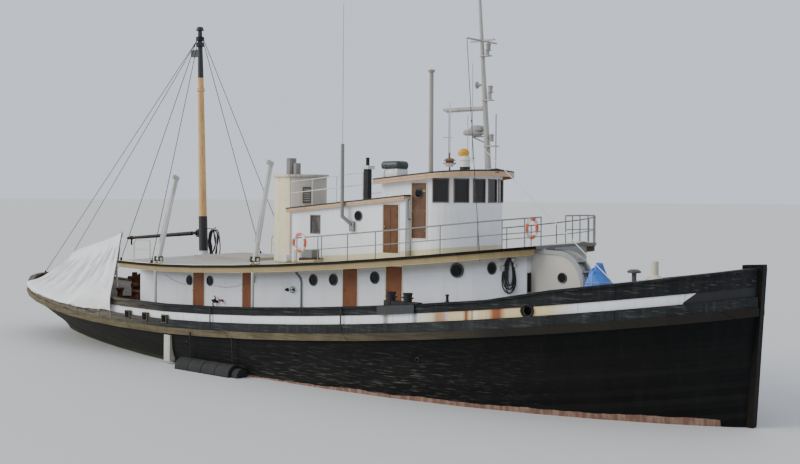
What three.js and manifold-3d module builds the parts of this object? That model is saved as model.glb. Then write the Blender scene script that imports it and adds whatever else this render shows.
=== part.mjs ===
// Cargo vessel converted from a wooden ocean tug, built as an assembly of separate pieces.
// Millimetres. X runs forward, Y to port and Z up. The origin is amidships on the waterline.
import * as THREE from 'three';
import { ConvexGeometry } from 'three/addons/geometries/ConvexGeometry.js';
import { mergeVertices } from 'three/addons/utils/BufferGeometryUtils.js';
import Module from 'manifold-3d';

const wasm = await Module();
wasm.setup();

// Gaps between pieces
const SEAT = 0.3;
const RUNNING_GAP = 5;
const HINGE_GAP = 0.6;
const PIN_GAP = 0.9;
const TRIM = 40;
const SMALLEST = 0.02;

// Sheer: height of the lower guard's bottom edge along the length
const SHEER_LOW_X = -5000;
const SHEER_LOW_Z = 1220;
const SHEER_FORE_X = 18900;
const SHEER_FORE_RISE = 2140;
const SHEER_FORE_POWER = 1.62;
const SHEER_AFT_X = -19200;
const SHEER_AFT_RISE = 1030;
const SHEER_AFT_POWER = 2;

// Heights above the sheer
const LOWER_GUARD_TOP = 250;
const DECK_EDGE = 430;
const UPPER_GUARD_TOP = 570;
const STRIPE_TOP = 870;
const CAP_TOP = 1180;
const BOW_CAP_TOP = 1320;
const STEM_CAP_TOP = 1420;
const STERN_CAP_TOP = 540;
const BOAT_DECK_TOP = 2780;

// Side timbers
const GUARD_OUT = 130;
const UPPER_GUARD_OUT = 80;
const BULWARK_THICK = 110;
const CAP_STRAKE_OUT = 25;
const CAP_THICK = 70;
const CAP_OUT = 70;
const CAP_IN = 180;
const BULWARK_AFT_X = -9150;
const RAMP_AFT_X = -11200;
const CAP_STEP_AFT_X = 11900;
const CAP_STEP_FORE_X = 12450;

// Hull
const KEEL_Z = -3980;
const KEEL_DRAG = 0.0207;
const KEEL_HALF = 170;
const DECK_HALF = 4170;
const DECK_CROWN = 110;
const CROWN_SHARE = 0.4;
const TAPER_STEPS = 9;
const MIDDLE_STEPS = 4;
const STEM_FRONT_TOP_X = 19150;
const STEM_HALF = 150;

// Main deckhouse and boat deck
const HOUSE_AFT_X = -7350;
const HOUSE_FORE_X = 11950;
const HOUSE_HALF = 3000;
const HOUSE_FORE_HALF = 1900;
const HOUSE_TAPER_X = 7800;
const WALL_THICK = 80;
const BOAT_DECK_AFT_X = -7500;
const BOAT_DECK_FORE_X = 12950;
const BOAT_DECK_ROUND_X = 10300;
const BOAT_DECK_HALF = 4100;
const BOAT_DECK_THICK = 100;
const FASCIA_HIGH = 230;
const FASCIA_THICK = 45;
const FASCIA_IN = 50;
const ROOF_CROWN = 60;

// Arched front of the deckhouse
const ARCH_AFT_X = HOUSE_FORE_X + SEAT;
const ARCH_SPRING_X = 12900;
const ARCH_SPRING_Z = 4000;
const ARCH_LONG = 940;
const ARCH_HIGH = 1010;
const ARCH_OUTER_Y = -1630;
const ARCH_INNER_Y = -1030;
const ARCH_RIM_WIDE = 120;
const ARCH_RIM_OUT = 60;

// Upper house and wheelhouse
const UPPER_AFT_X = 1250;
const UPPER_FORE_X = 7000;
const UPPER_HALF = 2200;
const UPPER_ROOF_AFT_Z = 6400;
const UPPER_ROOF_SLOPE = 0.088;
const WHEEL_AFT_X = 5650;
const WHEEL_ROUND_X = 7750;
const WHEEL_FRONT_X = 9060;
const WHEEL_HALF = 1950;
const WHEEL_ROOF_AFT_X = 5450;
const WHEEL_ROOF_AFT_Z = 7500;
const WHEEL_ROOF_SLOPE = 0.082;
const WHEEL_ROOF_FORE_X = 9400;
const WHEEL_ROOF_HALF = 2230;
const ROOF_THICK = 120;
const SOLE_Z = 5230;

// Masts
const MAST_FOOT_X = -6760;
const MAST_RAKE = -0.0365;
const MAST_TOP_Z = 14350;
const FOREMAST_X = 9000;
const FOREMAST_RAKE = -0.07;
const FOREMAST_TOP_Z = 15200;

// Colours
const BLACK = '#161718';
const WEATHERED = '#4a4438';
const WHITE = '#e4e4e2';
const CREAM = '#d3c69f';
const TEAK = '#a5622e';
const GREY = '#9c9fa0';
const RUST = '#6b3a22';
const BLUE = '#2a62b8';
const RUBBER = '#1b1c1d';
const BRONZE = '#9a7440';

// Solids from geometry

// A closed geometry becomes a solid that can be joined and cut.
function asSolid(geometry) {
  geometry.deleteAttribute('normal');
  geometry.deleteAttribute('uv');
  const merged = mergeVertices(geometry, 0.01);
  const points = merged.attributes.position.array;
  const triangles = [];
  let volume = 0;
  for (let i = 0; i < merged.index.count; i += 3) {
    const [a, b, c] = [0, 1, 2].map((k) => merged.index.getX(i + k));
    if (a === b || b === c || c === a) continue;
    triangles.push([a, b, c]);
    const [pa, pb, pc] = [a, b, c].map((v) => new THREE.Vector3().fromArray(points, 3 * v));
    volume += pa.dot(pb.cross(pc));
  }
  const ordered = volume < 0 ? triangles.map(([a, b, c]) => [a, c, b]) : triangles;
  return new wasm.Manifold(new wasm.Mesh({
    numProp: 3,
    vertProperties: new Float32Array(points),
    triVerts: new Uint32Array(ordered.flat()),
  }));
}

// Sections of 2m points, point i facing point 2m - 1 - i, are joined one to the next.
function loft(rings, closed = false) {
  const size = rings[0].length;
  const indices = [];
  const at = (ring, i) => (ring % rings.length) * size + (i % size);
  const spans = closed ? rings.length : rings.length - 1;
  for (let r = 0; r < spans; r++) {
    for (let i = 0; i < size; i++) {
      indices.push(at(r, i), at(r, i + 1), at(r + 1, i));
      indices.push(at(r, i + 1), at(r + 1, i + 1), at(r + 1, i));
    }
  }
  if (!closed) {
    const last = rings.length - 1;
    for (let i = 0; i < size / 2 - 1; i++) {
      const j = size - 1 - i;
      indices.push(at(0, i), at(0, j), at(0, i + 1));
      indices.push(at(0, i + 1), at(0, j), at(0, j - 1));
      indices.push(at(last, i), at(last, i + 1), at(last, j));
      indices.push(at(last, i + 1), at(last, j - 1), at(last, j));
    }
  }
  const geometry = new THREE.BufferGeometry();
  geometry.setAttribute('position', new THREE.Float32BufferAttribute(rings.flat(2), 3));
  geometry.setIndex(indices);
  return asSolid(geometry);
}

function box(x0, x1, y0, y1, z0, z1) {
  const geometry = new THREE.BoxGeometry(x1 - x0, y1 - y0, z1 - z0);
  geometry.translate((x0 + x1) / 2, (y0 + y1) / 2, (z0 + z1) / 2);
  return asSolid(geometry);
}

// A round bar or cone from one point to another.
function bar(from, to, radius, endRadius = radius, sides = 10) {
  const start = new THREE.Vector3(...from);
  const end = new THREE.Vector3(...to);
  const along = end.clone().sub(start);
  const geometry = new THREE.CylinderGeometry(endRadius, radius, along.length(), sides);
  const turn = new THREE.Quaternion().setFromUnitVectors(new THREE.Vector3(0, 1, 0), along.normalize());
  geometry.applyQuaternion(turn);
  geometry.translate(...start.add(end).multiplyScalar(0.5).toArray());
  return asSolid(geometry);
}

// A bent pipe through a list of points, its straight lengths overlapping a little at each bend
function pipeRun(points, radius) {
  return points.slice(1).map((point, i) => {
    const ends = [points[i], point].map((end) => new THREE.Vector3(...end));
    const past = ends[1].clone().sub(ends[0]).setLength(radius * 0.6);
    return bar(ends[0].sub(past).toArray(), ends[1].add(past).toArray(), radius, radius, 6);
  });
}

// A profile of [radius, height] pairs turned about a vertical axis at x, y.
function turned(profile, x, y, z, sides = 20) {
  const points = profile.map(([radius, height]) => new THREE.Vector2(radius, height));
  const geometry = new THREE.LatheGeometry(points, sides);
  geometry.rotateX(Math.PI / 2);
  geometry.translate(x, y, z);
  return asSolid(geometry);
}

// A side profile of [x, z] pairs carried across from y0 to y1.
function acrossShip(profile, y0, y1) {
  const shape = new THREE.Shape(profile.map(([x, z]) => new THREE.Vector2(x, z)));
  const geometry = new THREE.ExtrudeGeometry(shape, { depth: y1 - y0, bevelEnabled: false });
  geometry.rotateX(Math.PI / 2);
  geometry.translate(0, y1, 0);
  return asSolid(geometry);
}

function ringOf(x, y, z, radius, thickness, axis) {
  const geometry = new THREE.TorusGeometry(radius, thickness, 8, 20);
  if (axis === 'x') geometry.rotateY(Math.PI / 2);
  if (axis === 'y') geometry.rotateX(Math.PI / 2);
  geometry.translate(x, y, z);
  return asSolid(geometry);
}

const join = (pieces) => pieces.reduce((all, piece) => all.add(piece));
const cut = (piece, tools) => tools.reduce((left, tool) => left.subtract(tool), piece);
const raised = (solid, z) => solid.translate([0, 0, z]);
const SHIFTS = [[SEAT, 0, 0], [-SEAT, 0, 0], [0, SEAT, 0], [0, -SEAT, 0], [0, 0, SEAT], [0, 0, -SEAT]];
const around = (solid) => SHIFTS.map((shift) => solid.translate(shift));

// A piece trimmed to sit on what carries it, without the crumbs that a trim can leave.
function seated(piece, supports) {
  const parts = cut(piece, supports).decompose();
  return parts.reduce((largest, part) => (part.volume() > largest.volume() ? part : largest));
}

const mirrored = (solid) => solid.mirror([0, 1, 0]);

const ship = new THREE.Group();

function add(name, solid, colour, roughness = 0.6, metalness = 0) {
  const mesh = solid.simplify(SMALLEST).getMesh();
  const geometry = new THREE.BufferGeometry();
  geometry.setAttribute('position', new THREE.Float32BufferAttribute(mesh.vertProperties, 3));
  geometry.setIndex([...mesh.triVerts]);
  geometry.computeVertexNormals();
  const material = new THREE.MeshStandardMaterial({ color: colour, roughness, metalness });
  const node = new THREE.Mesh(geometry, material);
  node.name = name;
  ship.add(node);
}

// Lines of the ship

function sheer(x) {
  if (x > SHEER_LOW_X) {
    const forward = (x - SHEER_LOW_X) / (SHEER_FORE_X - SHEER_LOW_X);
    return SHEER_LOW_Z + SHEER_FORE_RISE * forward ** SHEER_FORE_POWER;
  }
  const aft = (SHEER_LOW_X - x) / (SHEER_LOW_X - SHEER_AFT_X);
  return SHEER_LOW_Z + SHEER_AFT_RISE * aft ** SHEER_AFT_POWER;
}

const keelLine = (x) => KEEL_Z + KEEL_DRAG * x;

// Height of the rail cap: low round the stern, a step up before the bow.
function capTop(x) {
  if (x < BULWARK_AFT_X) return sheer(x) + STERN_CAP_TOP;
  if (x < CAP_STEP_AFT_X) return sheer(x) + CAP_TOP;
  const step = Math.min((x - CAP_STEP_AFT_X) / (CAP_STEP_FORE_X - CAP_STEP_AFT_X), 1);
  const bow = Math.max((x - CAP_STEP_FORE_X) / (SHEER_FORE_X - CAP_STEP_FORE_X), 0);
  return sheer(x) + CAP_TOP + (BOW_CAP_TOP - CAP_TOP) * step + (STEM_CAP_TOP - BOW_CAP_TOP) * bow;
}

// Hull lines from the keel up. Each line is full between the two taper starts and narrows to its
// ends as (1 - s^power)^root. Columns: height, half-breadth, aft end, aft taper start, aft power,
// aft root, fore end, fore taper start, fore power, fore root.
const HULL_LINES = [
  [(x) => keelLine(x), KEEL_HALF, -15200, 0, 1, 1, 15400, 1000, 1, 1],
  [(x) => keelLine(x) + 320, KEEL_HALF, -15200, 0, 1, 1, 16200, 1000, 1, 1],
  [(x) => keelLine(x) + 950, 2300, -15250, 2500, 1.2, 1.3, 17300, 3000, 1.5, 1.25],
  [() => -1900, 3600, -15400, 2000, 1.4, 1.15, 18150, 2800, 1.9, 1.1],
  [() => -800, 3960, -16000, 500, 1.45, 1, 18480, 2400, 2.1, 1],
  [() => 0, 4060, -17200, -1000, 1.5, 0.9, 18660, 2000, 2.3, 0.9],
  [(x) => 0.55 * sheer(x), 4130, -18400, -4000, 1.9, 0.7, 18800, 3000, 2.35, 0.78],
  [(x) => sheer(x) - 20, DECK_HALF, -19100, -7000, 2.3, 0.5, 18950, 4000, 2.4, 0.65],
  [(x) => sheer(x) + DECK_EDGE, DECK_HALF, -19100, -7000, 2.3, 0.5, 18950, 4000, 2.4, 0.65],
];
const STERN_END_HALF = 110;

// Stations [x, half-breadth] of one hull line from stern to stem.
function stations([, half, aftEnd, aftStart, aftPower, aftRoot, foreEnd, foreStart, forePower, foreRoot]) {
  const list = [];
  const narrow = (s, power, root, end) => end + (half - end) * Math.max(1 - s ** power, 0) ** root;
  for (let i = 0; i < TAPER_STEPS; i++) {
    const s = Math.cos((Math.PI / 2) * (i / TAPER_STEPS));
    list.push([aftStart - s * (aftStart - aftEnd), narrow(s, aftPower, aftRoot, STERN_END_HALF)]);
  }
  for (let i = 0; i <= MIDDLE_STEPS; i++) {
    list.push([aftStart + (foreStart - aftStart) * (i / MIDDLE_STEPS), half]);
  }
  for (let i = 1; i <= TAPER_STEPS; i++) {
    const s = Math.sin((Math.PI / 2) * (i / TAPER_STEPS));
    list.push([foreStart + s * (foreEnd - foreStart), narrow(s, forePower, foreRoot, STEM_HALF)]);
  }
  return list;
}

const DECK_STATIONS = stations(HULL_LINES[HULL_LINES.length - 1]);

// The deck outline from the stem along starboard, round the stern and back along port.
function deckOutline(fromX = -Infinity) {
  const starboard = DECK_STATIONS.filter(([x]) => x >= fromX).map(([x, y]) => [x, -y]).reverse();
  const port = DECK_STATIONS.map(([x, y]) => [x, y]);
  return fromX > -Infinity ? starboard : [...starboard, ...port];
}

// Each point of a plan outline moved outwards, the outline running clockwise seen from above.
function offset(outline, distance, closed = false) {
  const count = outline.length;
  const normal = (a, b) => {
    const length = Math.hypot(b[0] - a[0], b[1] - a[1]);
    return [(a[1] - b[1]) / length, (b[0] - a[0]) / length];
  };
  return outline.map((point, i) => {
    const before = closed ? outline[(i + count - 1) % count] : outline[Math.max(i - 1, 0)];
    const after = closed ? outline[(i + 1) % count] : outline[Math.min(i + 1, count - 1)];
    const first = before === point ? normal(point, after) : normal(before, point);
    const second = after === point ? first : normal(point, after);
    const sum = [first[0] + second[0], first[1] + second[1]];
    const scale = 2 / (sum[0] ** 2 + sum[1] ** 2);
    return [point[0] + distance * sum[0] * scale, point[1] + distance * sum[1] * scale];
  });
}

// A wall or timber that follows an outline between two heights.
function band(outline, outward, inward, bottom, top, closed = false) {
  const outer = offset(outline, outward, closed);
  const inner = offset(outline, -inward, closed);
  const rings = outline.map(([x], i) => [
    [...outer[i], bottom(x)],
    [...outer[i], top(x)],
    [...inner[i], top(x)],
    [...inner[i], bottom(x)],
  ]);
  return loft(rings, closed);
}

// A deck or roof from [x, half-breadth] stations, higher by the crown in the middle.
function slab(list, top, thick, crown) {
  return loft(list.map(([x, y]) => [
    [x, -y, top(x) - thick],
    [x, 0, top(x) - thick + crown],
    [x, y, top(x) - thick],
    [x, y, top(x)],
    [x, 0, top(x) + crown],
    [x, -y, top(x)],
  ]));
}

// Half-breadth of a deck or house with a rounded front and straight sides.
function roundedFront(x, half, roundX, frontX, power = 2) {
  if (x <= roundX) return half;
  const s = Math.min((x - roundX) / (frontX - roundX), 1);
  return half * (1 - s ** power) ** (1 / power);
}

// Hull with its keel, keel shoe and rudder bore
const RUDDER_X = -16450;
const STOCK_RADIUS = 100;
const SHOE_TOP = -4120;
const SHAFT_Z = -2750;
const PROPELLER_X = -15750;
const SHAFT_RADIUS = 110;

function buildHull() {
  const lines = HULL_LINES.map((line) => ({ height: line[0], list: stations(line) }));
  const rings = lines[0].list.map((_, k) => {
    const side = lines.map(({ height, list }) => [list[k][0], list[k][1], height(list[k][0])]);
    const [x, y, z] = side[side.length - 1];
    side.push([x, y * CROWN_SHARE, z + DECK_CROWN * (y / DECK_HALF) ** 2]);
    const starboard = side.map(([sx, sy, sz]) => [sx, -sy, sz]);
    return [...starboard, ...side.reverse()];
  });
  const shoe = box(RUDDER_X - 250, -15100, -110, 110, SHOE_TOP - 180, SHOE_TOP);
  const bore = bar([RUDDER_X, 0, -1500], [RUDDER_X, 0, 1000], STOCK_RADIUS + 3, STOCK_RADIUS + 3, 24);
  const tube = bar([-15500, 0, SHAFT_Z], [-14700, 0, SHAFT_Z], SHAFT_RADIUS + PIN_GAP, SHAFT_RADIUS + PIN_GAP, 36);
  return cut(join([loft(rings), shoe]), [bore, tube]);
}

const hull = buildHull();
const onDeck = raised(hull, SEAT);

// Side timbers that lie on one another share joints that follow the sheer. The space over a joint is
// one wide band, taken from the timber below and kept of the timber above.
const TRIM_OUT = 200;
const TRIM_IN = 190;
const TRIM_HIGH = 900;
const END_OVER = 60;

function longer(line) {
  const past = (end, next) => {
    const length = Math.hypot(end[0] - next[0], end[1] - next[1]);
    return [0, 1].map((k) => end[k] + (END_OVER / length) * (end[k] - next[k]));
  };
  return [past(line[0], line[1]), ...line.slice(1, -1), past(line[line.length - 1], line[line.length - 2])];
}

const over = (line, height) => band(longer(line), TRIM_OUT, TRIM_IN, height, (x) => height(x) + TRIM_HIGH);
const keep = (piece, space) => raised(space, SEAT).intersect(piece);

// Freeing ports and the round mooring port, on both sides. Columns: x, z, half size.
const FREEING_PORTS = [[-6500, 1810, 140], [-5310, 1810, 140], [-4020, 1810, 140]];
const MOORING_PORT = { x: 12950, z: 3320, radius: 165 };

function portCutters() {
  const squares = FREEING_PORTS.map(([x, z, half]) => box(x - half, x + half, -4500, 4500, z - half, z + half));
  const { x, z, radius } = MOORING_PORT;
  return [...squares, bar([x, -4500, z], [x, 4500, z], radius, radius, 20)];
}

function buildSides() {
  const line = deckOutline();
  const strakeLine = deckOutline(RAMP_AFT_X);
  const guardJoint = (x) => sheer(x) + LOWER_GUARD_TOP;
  const guardTop = (x) => sheer(x) + (x < BULWARK_AFT_X ? STERN_CAP_TOP - CAP_THICK - 5 : UPPER_GUARD_TOP);
  const stripeJoint = (x) => (x < BULWARK_AFT_X ? capTop(x) - CAP_THICK : sheer(x) + STRIPE_TOP);
  const capJoint = (x) => capTop(x) - CAP_THICK;
  const upBy = (height, z) => (x) => height(x) + z;
  const overGuard = over(line, guardJoint);
  const overStripe = over(line, stripeJoint);
  const overStrake = over(line, capJoint);
  const ports = portCutters();
  const lower = seated(band(line, GUARD_OUT, -SEAT, sheer, upBy(guardJoint, TRIM)), [overGuard]);
  const upperBand = band(line, UPPER_GUARD_OUT, -SEAT, upBy(guardJoint, -TRIM), guardTop);
  const upper = seated(keep(upperBand, overGuard), ports);
  const stripeBand = band(line, 0, BULWARK_THICK, (x) => sheer(x) + DECK_EDGE - TRIM, upBy(stripeJoint, TRIM));
  const stripe = seated(stripeBand, [onDeck, overStripe, ...ports]);
  const strakeFoot = upBy(stripeJoint, -TRIM);
  const strakeBand = band(strakeLine, CAP_STRAKE_OUT, BULWARK_THICK - 10, strakeFoot, upBy(capJoint, TRIM));
  const strakes = [strakeBand, mirrored(strakeBand)].map((strake) => seated(keep(strake, overStripe), [overStrake]));
  const capBand = band(line, CAP_OUT, CAP_IN, upBy(capJoint, -TRIM), upBy(capTop, TRIM));
  const overCap = over(line, capTop);
  const cap = seated(keep(capBand, overStrake), [overCap, raised(hull, 2)]);
  const caps = [cap.trimByPlane([0, -1, 0], SEAT / 2), cap.trimByPlane([0, 1, 0], SEAT / 2)];
  return { lower, upper, stripe, strakes, cap, caps, overCap };
}

// Stem timber with its raised head
function buildStem() {
  const profile = [
    [STEM_FRONT_TOP_X - 640, 4420],
    [STEM_FRONT_TOP_X - 640, 4860],
    [STEM_FRONT_TOP_X, 4900],
    [STEM_FRONT_TOP_X + 10, 4780],
    [18870, 0],
    [18400, -2100],
    [17450, -3150],
    [15900, -3700],
    [15300, -3600],
    [17600, 0],
  ];
  return acrossShip(profile, -STEM_HALF, STEM_HALF);
}

add('hull', hull, BLACK, 0.75);
const sides = buildSides();
const sidePieces = [sides.lower, sides.upper, sides.stripe, ...sides.strakes, sides.cap];
add('guard_lower', sides.lower, WEATHERED, 0.9);
add('guard_upper', sides.upper, BLACK, 0.8);
add('bulwark_stripe', sides.stripe, WHITE, 0.7);
add('bulwark_strake_starboard', sides.strakes[0], BLACK, 0.8);
add('bulwark_strake_port', sides.strakes[1], BLACK, 0.8);
add('rail_cap_starboard', seated(sides.caps[0], []), BLACK, 0.8);
add('rail_cap_port', seated(sides.caps[1], []), BLACK, 0.8);
add('stem', seated(buildStem(), [hull, ...sidePieces].flatMap(around)), BLACK, 0.8);

// Propeller with its tail shaft, and the rudder hung from a bore and the keel shoe
function buildPropeller() {
  const hub = bar([PROPELLER_X - 230, 0, SHAFT_Z], [PROPELLER_X + 250, 0, SHAFT_Z], 190, 230, 20);
  const cone = bar([PROPELLER_X - 230, 0, SHAFT_Z], [PROPELLER_X - 520, 0, SHAFT_Z], 185, 40, 20);
  const shaft = bar([PROPELLER_X, 0, SHAFT_Z], [-14850, 0, SHAFT_Z], SHAFT_RADIUS, SHAFT_RADIUS, 36);
  const blade = new THREE.SphereGeometry(1, 14, 8);
  blade.scale(60, 400, 560);
  blade.rotateZ(0.6);
  blade.translate(PROPELLER_X, 0, SHAFT_Z + 690);
  const blades = [0, 90, 180, 270].map((angle) => {
    const turnedBlade = blade.clone();
    turnedBlade.translate(0, 0, -SHAFT_Z);
    turnedBlade.rotateX(THREE.MathUtils.degToRad(angle));
    turnedBlade.translate(0, 0, SHAFT_Z);
    return asSolid(turnedBlade);
  });
  return join([hub, cone, shaft, ...blades]);
}

function buildRudder() {
  const blade = acrossShip([
    [RUDDER_X + 120, SHOE_TOP + SEAT],
    [RUDDER_X - 1150, SHOE_TOP + 250],
    [RUDDER_X - 1250, -1900],
    [RUDDER_X - 900, -1150],
    [RUDDER_X + 120, -1050],
  ], -70, 70);
  const stock = bar([RUDDER_X, 0, SHOE_TOP + SEAT], [RUDDER_X, 0, 900], STOCK_RADIUS, STOCK_RADIUS, 24);
  return join([blade, stock]);
}

add('propeller', buildPropeller(), BRONZE, 0.4, 0.8);
add('rudder', buildRudder(), BLACK, 0.7);

// Decks and roofs

const boatDeckHalf = (x) => {
  const edge = BOAT_DECK_HALF * Math.max(1 - Math.max((x - 5500) / 13000, 0) ** 2, 0);
  return edge * roundedFront(x, 1, BOAT_DECK_ROUND_X, BOAT_DECK_FORE_X + 5);
};
const boatDeckTop = (x) => sheer(x) + BOAT_DECK_TOP;
const BOAT_DECK_XS = [
  BOAT_DECK_AFT_X, -6000, -4500, -2500, 0, 2500, 5500, 7500, 9000, 10300, 11000, 11600, 12000, 12300,
  12550, 12750, 12880, 12940,
];
const boatDeckStations = BOAT_DECK_XS.map((x) => [x, boatDeckHalf(x)]);
const closedOutline = (list) => [
  ...[...list].reverse().map(([x, y]) => [x, -y]),
  ...list.map(([x, y]) => [x, y]),
];

// Fittings that stand on the boat deck. Columns: x0, x1, y0, y1, height above the deck edge.
const DECK_BOXES = [
  [2900, 3700, -3450, -2950, 170],
  [3030, 3530, -3400, -3000, 470],
  [1530, 1970, -3200, -2800, 330],
  [-5600, -2000, -1500, 1500, 230],
];
// Ventilator posts on the boat deck. Columns: x, y, radius, height.
const DECK_VENTS = [
  [2240, -3000, 120, 560],
  [2540, -3000, 120, 560],
  [1650, 2900, 130, 620],
  [2300, 3000, 130, 640],
];

// Low pipe gate beside the derrick mast, on each side of the deck
const GATE_XS = [-6520, -5410];
function gateRail(side) {
  const y = side * (BOAT_DECK_HALF - 150);
  const foot = (x) => [x, y, boatDeckTop(x) - TRIM];
  const [aftX, foreX] = GATE_XS;
  const hoop = [
    foot(aftX), [aftX, y, 4780], [aftX + 80, y, 4930], [aftX + 220, y, 4960],
    [foreX - 210, y, 4960], [foreX - 70, y, 4930], [foreX, y, 4780], foot(foreX),
  ];
  const cross = bar([aftX, y, 4560], [foreX, y, 4560], 22, 22, 6);
  return join([...pipeRun(hoop, 28), cross]);
}

// Leaning boat davits on the starboard side, each on a pin between two lugs of the boat deck.
// Columns: name, x, top x, top y, top z.
const DAVITS = [
  ['davit_aft', -4950, -4750, -3100, 7600],
  ['davit_fore', 950, 1100, -3200, 8130],
];
const DAVIT_Y = -3850;
const DAVIT_PIN = 70;
const PIN_SIDES = 24;
const davitPinZ = (x) => boatDeckTop(x) + 190;

function davitLugs([, x]) {
  const z = davitPinZ(x);
  const lug = (x0) => box(x0, x0 + 40, DAVIT_Y - 115, DAVIT_Y + 115, z - 240, z + 115);
  const boreRadius = DAVIT_PIN + PIN_GAP;
  const bore = bar([x - 200, DAVIT_Y, z], [x + 200, DAVIT_Y, z], boreRadius, boreRadius, PIN_SIDES);
  return cut(join([lug(x - 152), lug(x + 112)]), [bore]);
}

function buildBoatDeck() {
  const deck = slab(boatDeckStations, boatDeckTop, BOAT_DECK_THICK, ROOF_CROWN);
  const boxes = DECK_BOXES.map(([x0, x1, y0, y1, high]) => {
    const z = boatDeckTop((x0 + x1) / 2);
    return box(x0, x1, y0, y1, z - TRIM, z + high);
  });
  const vents = DECK_VENTS.map(([x, y, radius, high]) => {
    const z = boatDeckTop(x);
    return bar([x, y, z - TRIM], [x, y, z + high], radius, radius, 12);
  });
  return join([deck, ...boxes, ...vents, ...[-1, 1].map(gateRail), ...DAVITS.map(davitLugs)]);
}

const boatDeck = buildBoatDeck();
const underBoatDeck = raised(boatDeck, -SEAT);
const onBoatDeck = raised(boatDeck, SEAT);

// Fascia under the deck edge with the posts that stand on the rail cap
const DECK_POST_XS = [-4950, 1000];
function buildFascia() {
  const line = closedOutline(boatDeckStations.filter(([x]) => x <= 12300));
  const top = (x) => boatDeckTop(x) - BOAT_DECK_THICK + TRIM;
  const strip = band(line, -FASCIA_IN, FASCIA_IN + FASCIA_THICK, (x) => top(x) - FASCIA_HIGH, top);
  const posts = DECK_POST_XS.flatMap((x) => [-1, 1].map((side) => {
    const y = side * (BOAT_DECK_HALF - FASCIA_IN - FASCIA_THICK);
    return bar([x, y, capTop(x) - TRIM], [x, y, top(x)], 60, 60, 10);
  }));
  return seated(join([strip, ...posts]), [underBoatDeck, raised(sides.cap, SEAT)]);
}

// Main deckhouse: closed walls from the deck to the boat deck, with door openings
const houseHalf = (x) => {
  const taper = Math.max((x - HOUSE_TAPER_X) / (HOUSE_FORE_X - HOUSE_TAPER_X), 0);
  return HOUSE_HALF - (HOUSE_HALF - HOUSE_FORE_HALF) * taper ** 2.2;
};
const HOUSE_XS = [HOUSE_AFT_X, -3000, 2000, HOUSE_TAPER_X, 9200, 10300, 11200, HOUSE_FORE_X];
const houseOutline = closedOutline(HOUSE_XS.map((x) => [x, houseHalf(x)]));

// Doors on both sides. Columns: name, aft jamb x, width, height, sill z, wall half-breadth.
const DOORS = [
  ['house_door_1', -3750, 690, 1720, 1990, HOUSE_HALF],
  ['house_door_2', -700, 560, 1720, 2180, HOUSE_HALF],
  ['house_door_3', 4740, 690, 1720, 2530, HOUSE_HALF],
  ['house_door_4', 6810, 720, 1720, 2690, HOUSE_HALF],
  ['upper_door', 5960, 710, 1740, 4815, UPPER_HALF],
  ['wheelhouse_door', 7080, 660, 1960, 5370, WHEEL_HALF],
];
const DOOR_THICK = 45;

function doorway([, x, width, height, sill, half]) {
  const through = [half - 2 * WALL_THICK, half + WALL_THICK];
  const cutBox = (y0, y1) => box(x, x + width, y0, y1, sill, sill + height);
  return [cutBox(through[0], through[1]), cutBox(-through[1], -through[0])];
}

function doorLeaf([, x, width, height, sill, half]) {
  const x0 = x + RUNNING_GAP;
  const x1 = x + width - HINGE_GAP;
  return box(x0, x1, -half, -half + DOOR_THICK, sill + RUNNING_GAP, sill + height - RUNNING_GAP);
}

function buildHouse() {
  const foot = (x) => sheer(x) + DECK_EDGE - TRIM;
  const top = (x) => boatDeckTop(x) - BOAT_DECK_THICK + ROOF_CROWN + TRIM;
  const walls = band(houseOutline, 0, WALL_THICK, foot, top, true);
  return seated(walls, [onDeck, underBoatDeck, ...DOORS.slice(0, 4).flatMap(doorway)]);
}

add('main_deckhouse', buildHouse(), WHITE, 0.6);
add('boat_deck', boatDeck, CREAM, 0.8);
add('deck_edge_fascia', buildFascia(), CREAM, 0.7);

// Arched companion at the front: a narrow hood whose back curves down to the foredeck, with a
// raised rim along both edges and a head up to the boat deck
function archPoint(angle, grow = 0) {
  const x = ARCH_SPRING_X + (ARCH_LONG + grow) * Math.sin(angle);
  return [x, ARCH_SPRING_Z + (ARCH_HIGH + grow) * Math.cos(angle)];
}

// Points of the curve from one angle down to the upright front
function archCurve(fromAngle, grow, steps = 10) {
  return Array.from({ length: steps + 1 }, (_, i) => (
    archPoint(fromAngle + (Math.PI / 2 - fromAngle) * (i / steps), grow)
  ));
}

const ARCH_FOOT_Z = 2700;
const ARCH_HEAD = { aftZ: 5200, foreZ: 5245, foreX: 12480 };

function hood(aftX, grow, y0, y1) {
  const top = ARCH_SPRING_Z + ARCH_HIGH + grow;
  const front = ARCH_SPRING_X + ARCH_LONG + grow;
  const shape = [[aftX, top], ...archCurve(0, grow), [front, ARCH_FOOT_Z], [aftX, ARCH_FOOT_Z]];
  return acrossShip(shape, y0, y1);
}

function buildArch() {
  const [outerY, innerY] = [ARCH_OUTER_Y, ARCH_INNER_Y];
  const body = hood(ARCH_AFT_X, 0, outerY, innerY);
  const rims = [outerY, innerY].map((y) => (
    hood(ARCH_AFT_X, ARCH_RIM_WIDE, y - ARCH_RIM_OUT, y + ARCH_RIM_OUT)
  ));
  const within = hood(ARCH_AFT_X - 1, 0, outerY - ARCH_RIM_OUT - 1, innerY + ARCH_RIM_OUT + 1);
  const { aftZ, foreZ, foreX } = ARCH_HEAD;
  const headFoot = ARCH_SPRING_Z + ARCH_HIGH - WALL_THICK / 2;
  const headShape = [[ARCH_AFT_X, aftZ], [foreX, foreZ], [foreX, headFoot], [ARCH_AFT_X, headFoot]];
  const head = acrossShip(headShape, outerY, innerY);
  const room = hood(ARCH_AFT_X - 100, -WALL_THICK, outerY + WALL_THICK, innerY - WALL_THICK);
  const shell = cut(join([body, head, ...rims.map((rim) => cut(rim, [within]))]), [room]);
  return seated(shell, [onDeck, underBoatDeck]);
}

const arch = buildArch();
add('arched_front', arch, GREY, 0.6);

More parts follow.
